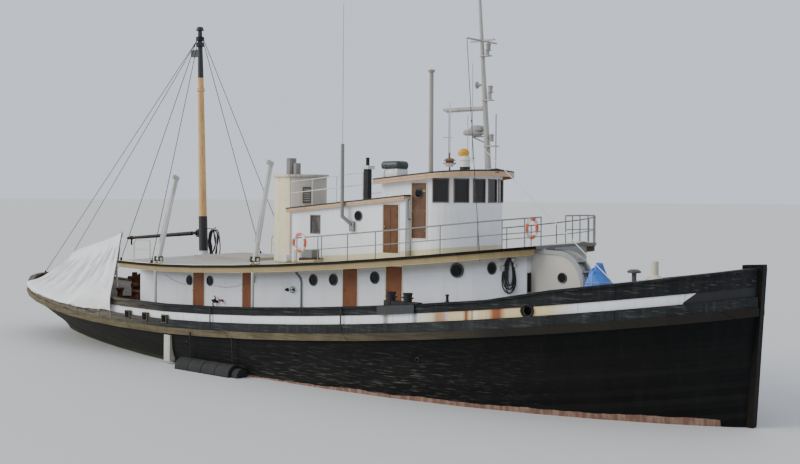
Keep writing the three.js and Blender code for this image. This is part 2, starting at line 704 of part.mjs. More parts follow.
// Steps up the back of the arch between its rims, carried by two strings
const TREAD_ZS = [4800, 4480, 4190, 3900, 3610, 3330];
const TREAD_REACH = 230;
const STRING_TOP_ANGLE = 0.6;
const STRING_HIGH = 90;

function buildSteps() {
  const [y0, y1] = [ARCH_OUTER_Y + ARCH_RIM_OUT + SEAT, ARCH_INNER_Y - ARCH_RIM_OUT - SEAT];
  const outer = archCurve(STRING_TOP_ANGLE, STRING_HIGH);
  const inner = archCurve(STRING_TOP_ANGLE, -20).reverse();
  const [outerX, innerX] = [outer[outer.length - 1][0], inner[0][0]];
  const shape = [...outer, [outerX, ARCH_FOOT_Z], [innerX, ARCH_FOOT_Z], ...inner];
  const strings = [y0, y1 - 30].map((y) => acrossShip(shape, y, y + 30));
  const treads = TREAD_ZS.map((z) => {
    const rise = Math.max((z - ARCH_SPRING_Z) / ARCH_HIGH, 0);
    const x = archPoint(Math.acos(rise))[0];
    return box(x - 60, x + TREAD_REACH, y0, y1, z - 20, z + 20);
  });
  return seated(join([...strings, ...treads]), [...around(arch), onDeck]);
}

add('front_steps', buildSteps(), GREY, 0.6);

// Upper house and its roof

const upperRoofTop = (x) => UPPER_ROOF_AFT_Z + UPPER_ROOF_SLOPE * (x - UPPER_AFT_X);

function buildUpperRoof() {
  const list = [[1030, 2350], [3000, 2350], [5000, 2350], [7050, 2350]];
  return slab(list, upperRoofTop, ROOF_THICK, ROOF_CROWN);
}

const upperRoof = buildUpperRoof();

function buildUpperHouse() {
  const outline = closedOutline([[UPPER_AFT_X, UPPER_HALF], [4000, UPPER_HALF], [UPPER_FORE_X, UPPER_HALF]]);
  const foot = (x) => boatDeckTop(x) - TRIM;
  const walls = band(outline, 0, WALL_THICK, foot, (x) => upperRoofTop(x) + ROOF_CROWN, true);
  const window = [-1, 1].map((side) => {
    const y = side * UPPER_HALF;
    return box(2230, 2790, y - 150, y + 150, 5400, 6130);
  });
  return seated(walls, [onBoatDeck, raised(upperRoof, -SEAT), ...window, ...doorway(DOORS[4])]);
}

add('upper_house', buildUpperHouse(), WHITE, 0.6);
add('upper_roof', upperRoof, CREAM, 0.7);

// Wheelhouse: straight sides, an elliptical front with seven windows, and its roof

const wheelHalf = (x) => roundedFront(x, WHEEL_HALF, WHEEL_ROUND_X, WHEEL_FRONT_X);
const wheelRoofTop = (x) => WHEEL_ROOF_AFT_Z + WHEEL_ROOF_SLOPE * (x - WHEEL_ROOF_AFT_X);
const wheelRoofHalf = (x) => roundedFront(x, WHEEL_ROOF_HALF, 7900, WHEEL_ROOF_FORE_X + 4, 2.3);
const FRONT_STEPS = 10;

function buildWheelRoof() {
  const list = [[WHEEL_ROOF_AFT_X, WHEEL_ROOF_HALF], [6600, WHEEL_ROOF_HALF]];
  for (let i = 0; i <= FRONT_STEPS; i++) {
    const s = Math.sin((Math.PI / 2) * (i / FRONT_STEPS));
    const x = 7900 + s * (WHEEL_ROOF_FORE_X - 7900);
    list.push([x, wheelRoofHalf(x)]);
  }
  return slab(list, wheelRoofTop, ROOF_THICK, ROOF_CROWN);
}

function wheelOutline() {
  const list = [[WHEEL_AFT_X, WHEEL_HALF], [7048, WHEEL_HALF], [7058, WHEEL_HALF]];
  for (let i = 0; i < FRONT_STEPS; i++) {
    const angle = (Math.PI / 2) * (i / FRONT_STEPS);
    const x = WHEEL_ROUND_X + (WHEEL_FRONT_X - WHEEL_ROUND_X) * Math.sin(angle);
    list.push([x, WHEEL_HALF * Math.cos(angle)]);
  }
  return [
    ...[[WHEEL_FRONT_X, 0], ...[...list].reverse()].map(([x, y]) => [x, -y]),
    ...list,
  ];
}

// Window centres round the front as angles from dead ahead
const WINDOW_ANGLES = [-67, -39.5, -15.5, 7, 29.5, 54, 82];
const WINDOW_WIDE = 600;
const WINDOW_HIGH = 860;
const WINDOW_FOOT = 6640;

function windowCutter(degrees) {
  const angle = THREE.MathUtils.degToRad(degrees);
  const length = WHEEL_FRONT_X - WHEEL_ROUND_X;
  const x = WHEEL_ROUND_X + length * Math.cos(angle);
  const y = WHEEL_HALF * Math.sin(angle);
  const facing = Math.atan2(Math.sin(angle) / WHEEL_HALF, Math.cos(angle) / length);
  const geometry = new THREE.BoxGeometry(500, WINDOW_WIDE, WINDOW_HIGH);
  geometry.rotateZ(facing);
  geometry.translate(x, y, WINDOW_FOOT + WINDOW_HIGH / 2);
  return asSolid(geometry);
}

const wheelRoofPlate = buildWheelRoof();

function buildWheelhouse() {
  const foot = (x) => (x < 7053 ? upperRoofTop(x) - ROOF_THICK / 2 : boatDeckTop(x) - TRIM);
  const walls = band(wheelOutline(), 0, WALL_THICK, foot, (x) => wheelRoofTop(x) + ROOF_CROWN, true);
  const supports = [raised(upperRoof, SEAT), upperRoof.translate([SEAT, 0, 0]), onBoatDeck];
  const openings = [...WINDOW_ANGLES.map(windowCutter), ...doorway(DOORS[5])];
  const inside = WHEEL_HALF - WALL_THICK / 2;
  const soleXs = [7058 + WALL_THICK / 2, WHEEL_ROUND_X, 8300, 8800];
  const sole = slab(soleXs.map((x) => [x, inside - (WHEEL_HALF - wheelHalf(x))]), () => SOLE_Z, 60, 0);
  return seated(join([walls, sole]), [raised(wheelRoofPlate, -SEAT), ...supports, ...openings]);
}

add('wheelhouse', buildWheelhouse(), WHITE, 0.6);

// Wheelhouse roof with the pole, lamp post and dome stand that are fixed to it
const SIGNAL_POLE = [7180, -1000, 11500];
const LAMP_POST = [7650, -500, 10250];
const DOME_STAND = [8340, -500];

function buildRoofAndGear() {
  const top = (x) => wheelRoofTop(x) + ROOF_CROWN / 2 - 20;
  const [poleX, poleY, poleTop] = SIGNAL_POLE;
  const [postX, postY, postTop] = LAMP_POST;
  const [domeX, domeY] = DOME_STAND;
  const pole = bar([poleX, poleY, top(poleX) - 20], [poleX, poleY, poleTop], 42, 34);
  const post = bar([postX, postY, top(postX) - 20], [postX, postY, postTop], 28, 24, 8);
  const spool = [[250, 400, 110, 235], [340, 400, 235, 235], [400, 470, 150, 150], [470, 560, 235, 120]]
    .map(([z0, z1, r0, r1]) => bar([postX, postY, top(postX) + z0], [postX, postY, top(postX) + z1], r0, r1, 14));
  const dome = turned([[0, 0], [190, 0], [190, 420], [215, 430], [215, 470], [160, 590], [0, 640]],
    domeX, domeY, top(domeX) - 20, 16);
  return join([wheelRoofPlate, pole, post, ...spool, dome]);
}

const wheelRoof = buildRoofAndGear();
add('wheelhouse_roof', wheelRoof, CREAM, 0.7);

// Doors
for (const door of DOORS) {
  const leaf = doorLeaf(door);
  add(`${door[0]}_starboard`, leaf, TEAK, 0.6);
  add(`${door[0]}_port`, mirrored(leaf), TEAK, 0.6);
}

// Life-raft locker on the wheelhouse roof
const LOCKER = { x0: 5500, x1: 6400, y0: -1900, y1: -1250, high: 600 };
function buildLocker() {
  const { x0, x1, y0, y1, high } = LOCKER;
  const z = wheelRoofTop((x0 + x1) / 2);
  return seated(box(x0, x1, y0, y1, z - TRIM, z + high), [raised(wheelRoof, SEAT)]);
}
add('roof_locker', buildLocker(), '#262b26', 0.5);

// Funnel, oval in plan, with pipes in its open top
const FUNNEL = { x: -550, long: 1250, wide: 900, top: 7720 };

function buildFunnel() {
  const oval = (long, wide, z0, z1) => {
    const geometry = new THREE.CylinderGeometry(1, 1, z1 - z0, 32);
    geometry.rotateX(Math.PI / 2);
    geometry.scale(long, wide, 1);
    geometry.translate(FUNNEL.x, 0, (z0 + z1) / 2);
    return asSolid(geometry);
  };
  const body = oval(FUNNEL.long, FUNNEL.wide, 4000, FUNNEL.top);
  const rim = oval(FUNNEL.long + 90, FUNNEL.wide + 90, FUNNEL.top - 90, FUNNEL.top);
  const well = oval(FUNNEL.long - 40, FUNNEL.wide - 40, FUNNEL.top - 450, FUNNEL.top + 10);
  return seated(cut(join([body, rim]), [well]), [onBoatDeck]);
}

function buildFunnelPipes() {
  const floor = FUNNEL.top - 450 + SEAT;
  const pipe = (x, y, radius, high) => bar([x, y, floor], [x, y, FUNNEL.top + high], radius, radius, 14);
  const exhaust = pipe(FUNNEL.x - 550, 0, 210, 700);
  const second = pipe(FUNNEL.x - 50, -150, 150, 480);
  const plate = box(FUNNEL.x - 1000, FUNNEL.x + 400, -480, 480, floor, floor + 60);
  return join([exhaust, second, plate]);
}

add('funnel', buildFunnel(), CREAM, 0.6);
add('funnel_pipes', buildFunnelPipes(), '#77797a', 0.5, 0.6);

// Stove chimney on the upper roof, and the pipe beside the upper house
function buildChimney() {
  const [x, y, top] = [4550, -1500, 7880];
  const stack = box(x - 110, x + 110, y - 110, y + 110, upperRoofTop(x) - TRIM, top);
  const cap = box(x - 190, x + 190, y - 190, y + 190, top - 10, top + 110);
  const pipe = bar([x, y, top], [x, y, top + 420], 70, 70, 12);
  return seated(join([stack, cap, pipe]), [raised(upperRoof, SEAT)]);
}

function buildGalleyPipe() {
  const [x, y] = [4130, -2430];
  const pipe = bar([x, y, 6050], [x, y, 8780], 70, 70, 12);
  const arm = bar([x, y, 6100], [x + 330, -UPPER_HALF - 72, 5800], 70, 70, 12);
  const foot = box(x + 230, x + 450, -UPPER_HALF - 100, -UPPER_HALF - SEAT, 5550, 5920);
  return join([pipe, arm, foot]);
}

add('stove_chimney', buildChimney(), BLACK, 0.5);
add('galley_pipe', seated(buildGalleyPipe(), around(upperRoof)), GREY, 0.4, 0.7);

// Foremast on the wheelhouse roof. Columns: height z, x0, x1, half-width, thickness of each arm or
// stand.
const FOREMAST_ARMS = [
  [12450, -480, 560, 35, 60],
  [11900, -60, 330, 130, 40],
  [10300, -60, 330, 130, 40],
  [9950, -1750, 60, 40, 60],
  [9150, -700, 60, 60, 50],
  [8650, -80, 420, 150, 40],
];

const mastX = (z) => FOREMAST_X + FOREMAST_RAKE * (z - 8000);

function buildForemast() {
  const mast = bar([mastX(7780), 0, 7780], [mastX(FOREMAST_TOP_Z), 0, FOREMAST_TOP_Z], 115, 45, 12);
  const arms = FOREMAST_ARMS.map(([z, x0, x1, half, thick]) => {
    const x = mastX(z);
    return box(x + x0, x + x1, -half, half, z, z + thick);
  });
  const yard = bar([mastX(12480), -900, 12480], [mastX(12480), 900, 12480], 35);
  const lamps = [11940, 10340].map((z) => bar([mastX(z) + 210, 0, z], [mastX(z) + 210, 0, z + 230], 75, 75, 12));
  const scanner = box(mastX(9950) - 1860, mastX(9950) - 60, -90, 90, 10005, 10110);
  const dish = turned([[0, 0], [60, 0], [280, 60], [280, 150], [200, 230], [0, 260]],
    mastX(9150) - 420, 0, 9190, 18);
  return seated(join([mast, yard, ...arms, ...lamps, scanner, dish]), [raised(wheelRoof, SEAT)]);
}

const foremast = buildForemast();
add('foremast', foremast, WHITE, 0.5);

// Derrick mast on its cone foot, with rungs' bands and the gooseneck bracket
const derrickX = (z) => MAST_FOOT_X + MAST_RAKE * (z - 4230);
const GOOSENECK_Z = 5120;
const GOOSENECK_X = derrickX(GOOSENECK_Z) - 330;
const BOOM_PIN = 30;
const neckPoint = (z) => [GOOSENECK_X, 0, GOOSENECK_Z + z];
const EAR_THICK = 50;
const EAR_FEET = [GOOSENECK_Z - 175, GOOSENECK_Z + 125];

function buildDerrickMast() {
  const at = (z) => [derrickX(z), 0, z];
  const foot = turned([[0, 0], [330, 0], [230, 260], [0, 260]], derrickX(4120), 0, 3980, 18);
  const lower = bar(at(4000), at(5900), 205, 195, 16);
  const middle = bar(at(5890), at(12170), 180, 130, 16);
  const upper = bar(at(12160), at(MAST_TOP_Z), 130, 95, 16);
  const cap = bar(at(MAST_TOP_Z - 20), at(MAST_TOP_Z + 130), 190, 130, 16);
  const collar = bar(at(11550), at(11680), 175, 175, 16);
  const truck = bar(at(13600), at(13760), 190, 190, 16);
  const headBlock = box(derrickX(13300) - 560, derrickX(13300) - 60, -90, 90, 13150, 13460);
  const pinBore = bar(neckPoint(-220), neckPoint(220), BOOM_PIN + PIN_GAP, BOOM_PIN + PIN_GAP, 16);
  const [earAft, earFore] = [GOOSENECK_X - 70, GOOSENECK_X + 200];
  const ears = EAR_FEET.map((z) => cut(box(earAft, earFore, -80, 80, z, z + EAR_THICK), [pinBore]));
  const solid = join([foot, lower, middle, upper, cap, collar, truck, headBlock, ...ears]);
  return seated(solid, [onBoatDeck]);
}

add('derrick_mast', buildDerrickMast(), '#c79a55', 0.7);

// Gooseneck and cargo boom, lowered over the aft deck
const BOOM_LENGTH = 5150;
const BOOM_DROOP = 0.075;
const BOOM_HEEL = 190;

const NECK_HALF = 119;
const CHEEK_HALF = 70;

function buildGooseneck() {
  const heel = GOOSENECK_X - BOOM_HEEL;
  const [low, high] = [GOOSENECK_Z - NECK_HALF, GOOSENECK_Z + NECK_HALF];
  const block = box(GOOSENECK_X - 70, GOOSENECK_X + 60, -60, 60, low, high);
  const plate = box(GOOSENECK_X - 90, GOOSENECK_X - 60, -110, 110, low, high);
  const [cheekAft, cheekFore] = [heel - CHEEK_HALF, GOOSENECK_X - CHEEK_HALF];
  const cheek = (y) => box(cheekAft, cheekFore, y, y + 40, GOOSENECK_Z - CHEEK_HALF, GOOSENECK_Z + CHEEK_HALF);
  const cheeks = [-110, 70].map(cheek);
  const upright = bar(neckPoint(-185), neckPoint(185), BOOM_PIN, BOOM_PIN, 16);
  const cross = bar([heel, -125, GOOSENECK_Z], [heel, 125, GOOSENECK_Z], BOOM_PIN, BOOM_PIN, 16);
  return join([block, plate, ...cheeks, upright, cross]);
}

function buildBoom() {
  const heel = GOOSENECK_X - BOOM_HEEL;
  const end = [heel - BOOM_LENGTH, 0, GOOSENECK_Z - BOOM_LENGTH * BOOM_DROOP];
  const eye = bar([heel, -64, GOOSENECK_Z], [heel, 64, GOOSENECK_Z], 65, 65, 16);
  const boreRadius = BOOM_PIN + PIN_GAP;
  const bore = bar([heel, -70, GOOSENECK_Z], [heel, 70, GOOSENECK_Z], boreRadius, boreRadius, 16);
  const lug = box(heel - 320, heel, -45, 45, GOOSENECK_Z - 62, GOOSENECK_Z + 45);
  const spar = bar([heel - 250, 0, GOOSENECK_Z - 250 * BOOM_DROOP], end, 95, 70, 12);
  const band1 = bar([end[0] + 250, 0, end[2] + 19], [end[0] + 330, 0, end[2] + 25], 100, 100, 12);
  const hook = box(end[0] + 260, end[0] + 320, -30, 30, end[2] - 320, end[2]);
  return cut(join([eye, lug, spar, band1, hook]), [bore]);
}

add('boom_gooseneck', buildGooseneck(), BLACK, 0.5, 0.5);
add('cargo_boom', buildBoom(), BLACK, 0.6);

for (const [name, x, topX, topY, topZ] of DAVITS) {
  const z = davitPinZ(x);
  const pole = bar([x, DAVIT_Y, z], [topX, topY, topZ], 100, 65, 12);
  const pin = bar([x - 165, DAVIT_Y, z], [x + 165, DAVIT_Y, z], DAVIT_PIN, DAVIT_PIN, PIN_SIDES);
  const sheave = bar([topX - 60, topY, topZ - 60], [topX + 60, topY, topZ - 60], 95, 95, 12);
  add(name, join([pole, pin, sheave]), GREY, 0.5, 0.3);
}

// Boat deck rail from abreast of the funnel round to the front steps, on each side
const RAIL_HIGH = 930;
const RAIL_IN = 110;
const RAIL_XS = [3360, 4420, 4610, 5870, 7120, 8360, 9650, 10900, 11540, 12050, 12380];
// Posts across the front of the deck on the port side, as x and y
const RAIL_FRONT = [[12620, 1250], [12760, 600], [12800, 0], [12790, -450], [12740, -800]];

function buildDeckRail(line) {
  const level = (high) => line.map(([x, y]) => [x, y, boatDeckTop(x) + high]);
  const top = level(RAIL_HIGH);
  const middle = level(RAIL_HIGH / 2);
  const posts = top.map(([x, y, z]) => bar([x, y, boatDeckTop(x) - TRIM], [x, y, z + 10], 20, 20, 6));
  return seated(join([...pipeRun(top, 24), ...pipeRun(middle, 17), ...posts]), [onBoatDeck]);
}

const railHalf = (x) => boatDeckHalf(x) - RAIL_IN;
const deckRail = buildDeckRail(RAIL_XS.map((x) => [x, -railHalf(x)]));
add('deck_rail_starboard', deckRail, WHITE, 0.5);
add('deck_rail_port', buildDeckRail([...RAIL_XS.map((x) => [x, railHalf(x)]), ...RAIL_FRONT]), WHITE, 0.5);

// Life rings hung outside the starboard rail. Columns: name, x, y, z, axis.
const LIFE_RINGS = [
  ['life_ring_aft', 3560, -4065, 5150, 'y'],
  ['life_ring_fore', 12200, -1990, 5850, 'x'],
];
for (const [name, x, y, z, axis] of LIFE_RINGS) {
  add(name, seated(ringOf(x, y, z, 300, 55, axis), around(deckRail)), '#d2552a', 0.6);
}

// Standing rigging of the derrick mast, down to an eye plate at each lower end
const EYE_HALF = 35;
const CHORD_RISE = 5;
const deckSurface = (x, y) => boatDeckTop(x) + ROOF_CROWN * (1 - (y - EYE_HALF) / boatDeckHalf(x)) + CHORD_RISE;
// Columns: x, y, height of what the eye plate stands on
const STAY_FEET = [
  [-18900, 500, capTop(-18900 + EYE_HALF) - CHORD_RISE],
  [-7350, 4000, deckSurface(-7350 - EYE_HALF, 4000)],
  [-5290, 3950, deckSurface(-5290 - EYE_HALF, 3950)],
];
const STAY_TOP_Z = 13950;
const STAY_RADIUS = 16;

function buildStays() {
  const x = derrickX(STAY_TOP_Z);
  const outer = bar([x, 0, STAY_TOP_Z - 80], [x, 0, STAY_TOP_Z + 80], 190, 190, 12);
  const inner = bar([x, 0, STAY_TOP_Z - 100], [x, 0, STAY_TOP_Z + 100], 112, 112, 12);
  const stays = STAY_FEET.flatMap(([fx, fy, fz]) => [-1, 1].map((side) => {
    const away = new THREE.Vector2(fx - x, side * fy).normalize().multiplyScalar(150);
    const wire = bar([x + away.x, away.y, STAY_TOP_Z], [fx, side * fy, fz + 60], STAY_RADIUS, STAY_RADIUS, 6);
    const eye = box(fx - EYE_HALF, fx + EYE_HALF, side * fy - EYE_HALF, side * fy + EYE_HALF, fz, fz + 120);
    return join([wire, eye]);
  }));
  return seated(join([cut(outer, [inner]), ...stays]), [raised(sides.cap, SEAT)]);
}

add('mast_stays', buildStays(), '#2a2b2c', 0.5, 0.6);

// White stay from an eye on the foremast down to the starboard bow rail
const FORESTAY_TOP = [8955, -130, 8540];
const FORESTAY_FOOT = [15450, -2690, 4420];
const mastEye = box(8915, 8995, -160, -85, 8490, 8580);
const forestay = join([mastEye, bar(FORESTAY_TOP, FORESTAY_FOOT, 14, 14, 6)]);
add('forestay', seated(forestay, [raised(sides.cap, SEAT), ...around(foremast)]), WHITE, 0.5);

// A sheet of cloth through a grid of points, as a thin closed solid
function sheet(grid, thick) {
  const rows = grid.length;
  const columns = grid[0].length;
  const point = (i, j) => new THREE.Vector3(...grid[i][j]);
  const normal = (i, j) => {
    const down = point(Math.min(i + 1, rows - 1), j).sub(point(Math.max(i - 1, 0), j));
    const along = point(i, Math.min(j + 1, columns - 1)).sub(point(i, Math.max(j - 1, 0)));
    return down.cross(along).normalize().multiplyScalar(thick / 2);
  };
  const face = (side) => grid.map((row, i) => row.map((_, j) => point(i, j).addScaledVector(normal(i, j), side)));
  const rings = face(1).map((row, i) => {
    const back = face(-1)[i];
    return [...row, ...back.reverse()].map((v) => v.toArray());
  });
  return loft(rings);
}

// Canvas over the stern: hem outside the low rail, up over the rail to the ridge, and a port flap.
// Columns: hem x, hem z, ridge x, ridge z, port edge x, y, z.
const CANVAS_RIBS = [
  [-8350, 1830, -13120, 4910, -13150, 160, 4840],
  [-9700, 1860, -13250, 4880, -13500, 330, 4620],
  [-11200, 1900, -13700, 4750, -14000, 640, 4330],
  [-12900, 1980, -14400, 4560, -14800, 1150, 3750],
  [-14700, 2100, -15400, 4300, -15900, 1850, 3020],
  [-15800, 2180, -15980, 4150, -16500, 2190, 2780],
  [-16900, 2260, -16540, 4000, -17000, 2480, 2560],
];
const CANVAS_OUT = 150;
const CANVAS_THICK = 24;
const CANVAS_SAG = 330;

function deckHalfAt(x) {
  const after = DECK_STATIONS.findIndex(([sx]) => sx > x);
  const [[x0, y0], [x1, y1]] = [DECK_STATIONS[after - 1], DECK_STATIONS[after]];
  return y0 + ((y1 - y0) * (x - x0)) / (x1 - x0);
}

function canvasRib([hemX, hemZ, ridgeX, ridgeZ, portX, portY, portZ]) {
  const edge = -deckHalfAt(hemX) - CANVAS_OUT;
  const railTop = Math.max(capTop(hemX), capTop(hemX + 1000)) + 60;
  const rib = [[hemX, edge, hemZ], [hemX, edge, railTop]];
  for (const t of [0.25, 0.5, 0.75]) {
    const sag = CANVAS_SAG * Math.sin(Math.PI * t) * (1 - t * 0.4);
    rib.push([hemX + (ridgeX - hemX) * t, edge * (1 - t), railTop + (ridgeZ - railTop) * t - sag]);
  }
  return [...rib, [ridgeX, 0, ridgeZ], [portX, portY, portZ]];
}

const canvas = sheet(CANVAS_RIBS.map(canvasRib), CANVAS_THICK);
add('stern_canvas', canvas, '#c9c6bd', 0.9);

// Awning frame under the canvas: a post, a ridge bar and a spar down to the starboard quarter
function buildAwningFrame() {
  const post = bar([-13350, 0, 1900], [-13350, 0, 5000], 45, 40, 10);
  const ridge = bar([-13350, 0, 4740], [-16300, 0, 3960], 35, 35, 8);
  const prop = bar([-16300, 0, 4300], [-16300, 0, 1900], 40, 40, 10);
  return seated(join([post, ridge, prop]), [onDeck, ...around(canvas)]);
}

add('awning_frame', buildAwningFrame(), TEAK, 0.8);

// Towing winch on the aft deck, rusted over: a bed, a drum between cheeks on a cross shaft, a
// gearbox on its fore side, and the bitt posts with their crossbar on its after side
const WINCH = { drumX: -10500, postX: -11350, deckZ: 1900, shaftHigh: 700, barHigh: 1000 };
const DRUM = { half: 650, radius: 330, flangeRadius: 560, flangeThick: 90 };

function buildWinch() {
  const { drumX, postX, deckZ, shaftHigh, barHigh } = WINCH;
  const shaftZ = deckZ + shaftHigh;
  const turnedAbout = (x, z, y0, y1, radius, sides) => bar([x, y0, z], [x, y1, z], radius, radius, sides);
  const bed = box(postX - 250, drumX + 1200, -850, 850, deckZ - 260, deckZ + 120);
  const drum = turnedAbout(drumX, shaftZ, -DRUM.half, DRUM.half, DRUM.radius, 20);
  const flanges = [-DRUM.half, DRUM.half - DRUM.flangeThick]
    .map((y) => turnedAbout(drumX, shaftZ, y, y + DRUM.flangeThick, DRUM.flangeRadius, 20));
  const cheeks = [-830, 730].map((y) => box(drumX - 250, drumX + 250, y, y + 100, deckZ, deckZ + 900));
  const warps = turnedAbout(drumX, shaftZ, -1150, 1150, 120, 14);
  const gearbox = box(drumX + 600, drumX + 1200, -600, 500, deckZ, deckZ + 900);
  const link = box(drumX + 200, drumX + 650, -700, -600, deckZ + 500, deckZ + 800);
  const posts = [-400, 400].map((y) => bar([postX, y, deckZ], [postX, y, deckZ + 1250], 150, 130, 14));
  const crossbar = turnedAbout(postX, deckZ + barHigh, -750, 750, 90, 12);
  return seated(join([bed, drum, ...flanges, ...cheeks, warps, gearbox, ...posts, crossbar, link]), [onDeck]);
}

add('towing_winch', buildWinch(), RUST, 0.9);

// Double mooring bitts on the rail cap: a base, two posts with heads, and a pin through each
const BITTS = { aftX: 7650, foreX: 9150, y: -3975, posts: [7900, 8620], pinHalf: 240 };

function buildBitts(side) {
  const { aftX, foreX, y, posts, pinHalf } = BITTS;
  const z = capTop(8400);
  const base = box(aftX, foreX, y - 115, y + 115, capTop(aftX) - TRIM, z + 110);
  const stems = posts.map((x) => bar([x, y, z], [x, y, z + 390], 145, 145, 14));
  const heads = posts.map((x) => bar([x, y, z + 340], [x, y, z + 400], 165, 165, 14));
  const pins = posts.map((x) => bar([x - pinHalf, y, z + 240], [x + pinHalf, y, z + 240], 28, 28, 8));
  const bitts = join([base, ...stems, ...heads, ...pins]);
  return seated(keep(side > 0 ? mirrored(bitts) : bitts, sides.overCap), []);
}

add('bitts_starboard', buildBitts(-1), '#303234', 0.6, 0.3);
add('bitts_port', buildBitts(1), '#303234', 0.6, 0.3);

// Foredeck trunk, its vents and the tarpaulin over the gear beside it
const TRUNK_TOP = 4150;

function buildTrunk() {
  return seated(box(14600, 16300, -1100, 1100, 2900, TRUNK_TOP), [onDeck]);
}

add('foredeck_trunk', buildTrunk(), WHITE, 0.6);
const mushroom = [[0, 0], [75, 0], [75, 330], [215, 345], [215, 400], [130, 450], [0, 460]];
add('mushroom_vent', turned(mushroom, 15260, -800, TRUNK_TOP + SEAT, 18), GREY, 0.5);
const cowl = [[0, 0], [430, 0], [150, 270], [115, 290], [115, 720], [0, 740]];
add('cone_vent', turned(cowl, 15800, -450, TRUNK_TOP + SEAT, 20), CREAM, 0.6);

function buildTarp() {
  const foot = 3130;
  const points = [
    [14130, -2300, foot], [15120, -2180, foot], [15120, -1180, foot], [14130, -1180, foot],
    [14150, -2260, 3950], [15080, -2140, 3700], [15080, -1200, 3700], [14150, -1200, 4000],
    [14280, -1850, 4700], [14420, -1450, 4820], [14750, -1600, 4300],
  ];
  const cover = asSolid(new ConvexGeometry(points.map((point) => new THREE.Vector3(...point))));
  return seated(cover, [onDeck]);
}

add('foredeck_tarp', buildTarp(), BLUE, 0.8);

// Rubber fender roll at the waterline with its hanging straps, and a fender plank
const FENDER = { radius: 380, aftX: -2600, pitch: 800, long: 770, z: 60 };

function buildFender() {
  const { radius, aftX, pitch, long, z } = FENDER;
  const y = -4060 - radius - 15;
  const lying = (x0, x1, size, sides) => bar([x0, y, z], [x1, y, z], size, size, sides);
  const roll = [0, 1, 2, 3].map((k) => lying(aftX + k * pitch, aftX + k * pitch + long, radius, 20));
  const core = lying(aftX + 50, 900, 200, 16);
  const small = lying(640, 960, 270, 16);
  const straps = [-2300, 200].map((x) => bar([x, y + 200, z + 140], [x, -4330, 1440], 22, 22, 8));
  return seated(join([...roll, core, small, ...straps]), [...around(hull), ...around(sides.lower)]);
}

add('rubber_fender', buildFender(), RUBBER, 0.9);
const plank = box(-4030, -3650, -4260, -4000, 120, 1180);
add('fender_plank', seated(plank, around(hull)), '#b9b7b0', 0.9);

export default ship;
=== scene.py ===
from math import atan2, cos, exp, pi, radians, remainder, sin

import bpy
from mathutils import Matrix, Vector


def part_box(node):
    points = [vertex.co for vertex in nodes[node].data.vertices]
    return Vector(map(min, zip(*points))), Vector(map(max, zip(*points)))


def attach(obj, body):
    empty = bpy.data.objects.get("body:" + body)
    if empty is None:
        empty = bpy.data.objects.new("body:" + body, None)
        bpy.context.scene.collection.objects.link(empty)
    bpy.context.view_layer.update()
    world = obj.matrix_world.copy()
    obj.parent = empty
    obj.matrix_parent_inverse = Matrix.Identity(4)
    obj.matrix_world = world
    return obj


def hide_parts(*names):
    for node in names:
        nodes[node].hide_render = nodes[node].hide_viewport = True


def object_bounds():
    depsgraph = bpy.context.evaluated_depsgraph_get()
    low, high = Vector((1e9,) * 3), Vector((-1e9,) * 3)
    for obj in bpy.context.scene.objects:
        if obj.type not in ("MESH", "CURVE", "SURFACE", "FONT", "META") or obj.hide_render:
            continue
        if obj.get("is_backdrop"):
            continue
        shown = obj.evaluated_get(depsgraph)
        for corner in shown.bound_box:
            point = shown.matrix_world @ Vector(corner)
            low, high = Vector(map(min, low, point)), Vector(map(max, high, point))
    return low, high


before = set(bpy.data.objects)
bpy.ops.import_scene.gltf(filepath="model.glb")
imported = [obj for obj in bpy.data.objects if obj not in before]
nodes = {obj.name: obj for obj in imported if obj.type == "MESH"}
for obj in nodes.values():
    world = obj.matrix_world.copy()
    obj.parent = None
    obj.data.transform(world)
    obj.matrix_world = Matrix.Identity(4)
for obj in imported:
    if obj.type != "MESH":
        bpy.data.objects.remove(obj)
cad_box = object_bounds()
scene = bpy.context.scene

# Camera: the ship is seen from the quay off the starboard bow, level with the boat deck.
# Place, heading and lens were fitted to the waterline, the masts and the house edges.
PHOTO_WIDE, PHOTO_HIGH = 800, 464
FOCAL_PX, HORIZON_ROW = 1083.58, 197.04
heading, roll = radians(40.32), radians(0.431)
forward = Vector((-sin(heading), cos(heading), 0))
level = Vector((cos(heading), sin(heading), 0))
right = cos(roll) * level + sin(roll) * Vector((0, 0, 1))
up = cos(roll) * Vector((0, 0, 1)) - sin(roll) * level
camera_data = bpy.data.cameras.new("quay_camera")
camera_data.sensor_width = 36
camera_data.lens = 36 * FOCAL_PX / PHOTO_WIDE
camera_data.shift_y = (HORIZON_ROW - PHOTO_HIGH / 2) / PHOTO_WIDE
camera_data.clip_end = 4000
camera = bpy.data.objects.new("quay_camera", camera_data)
scene.collection.objects.link(camera)
turn = Matrix((right, up, -forward)).transposed().to_4x4()
camera.matrix_world = Matrix.Translation((31.727, -31.642, 6.829)) @ turn
scene.camera = camera

# Hull: carvel planks on frames, tarred black, with red bottom paint that shows as a thin
# band at the waterline. The paint is rubbed grey amidships and green with weed aft.


def by_node(operation):
    """An operator that makes a Math node of the given kind."""
    return lambda one, other=0.0: one.math(operation, other)


class Value:
    """A shader socket that Python's operators work on, each by way of one Math node."""

    def __init__(self, tree, socket):
        self.tree, self.socket = tree, socket

    def math(self, operation, other=0.0):
        return put(self.tree, "Math", {0: self, 1: other}, operation=operation)[0]

    def __rsub__(self, other):
        return put(self.tree, "Math", {0: other, 1: self}, operation="SUBTRACT")[0]

    __add__, __sub__, __mul__ = by_node("ADD"), by_node("SUBTRACT"), by_node("MULTIPLY")
    __truediv__, __pow__, __or__ = by_node("DIVIDE"), by_node("POWER"), by_node("MAXIMUM")
    __lt__, __gt__, __abs__ = by_node("LESS_THAN"), by_node("GREATER_THAN"), by_node("ABSOLUTE")


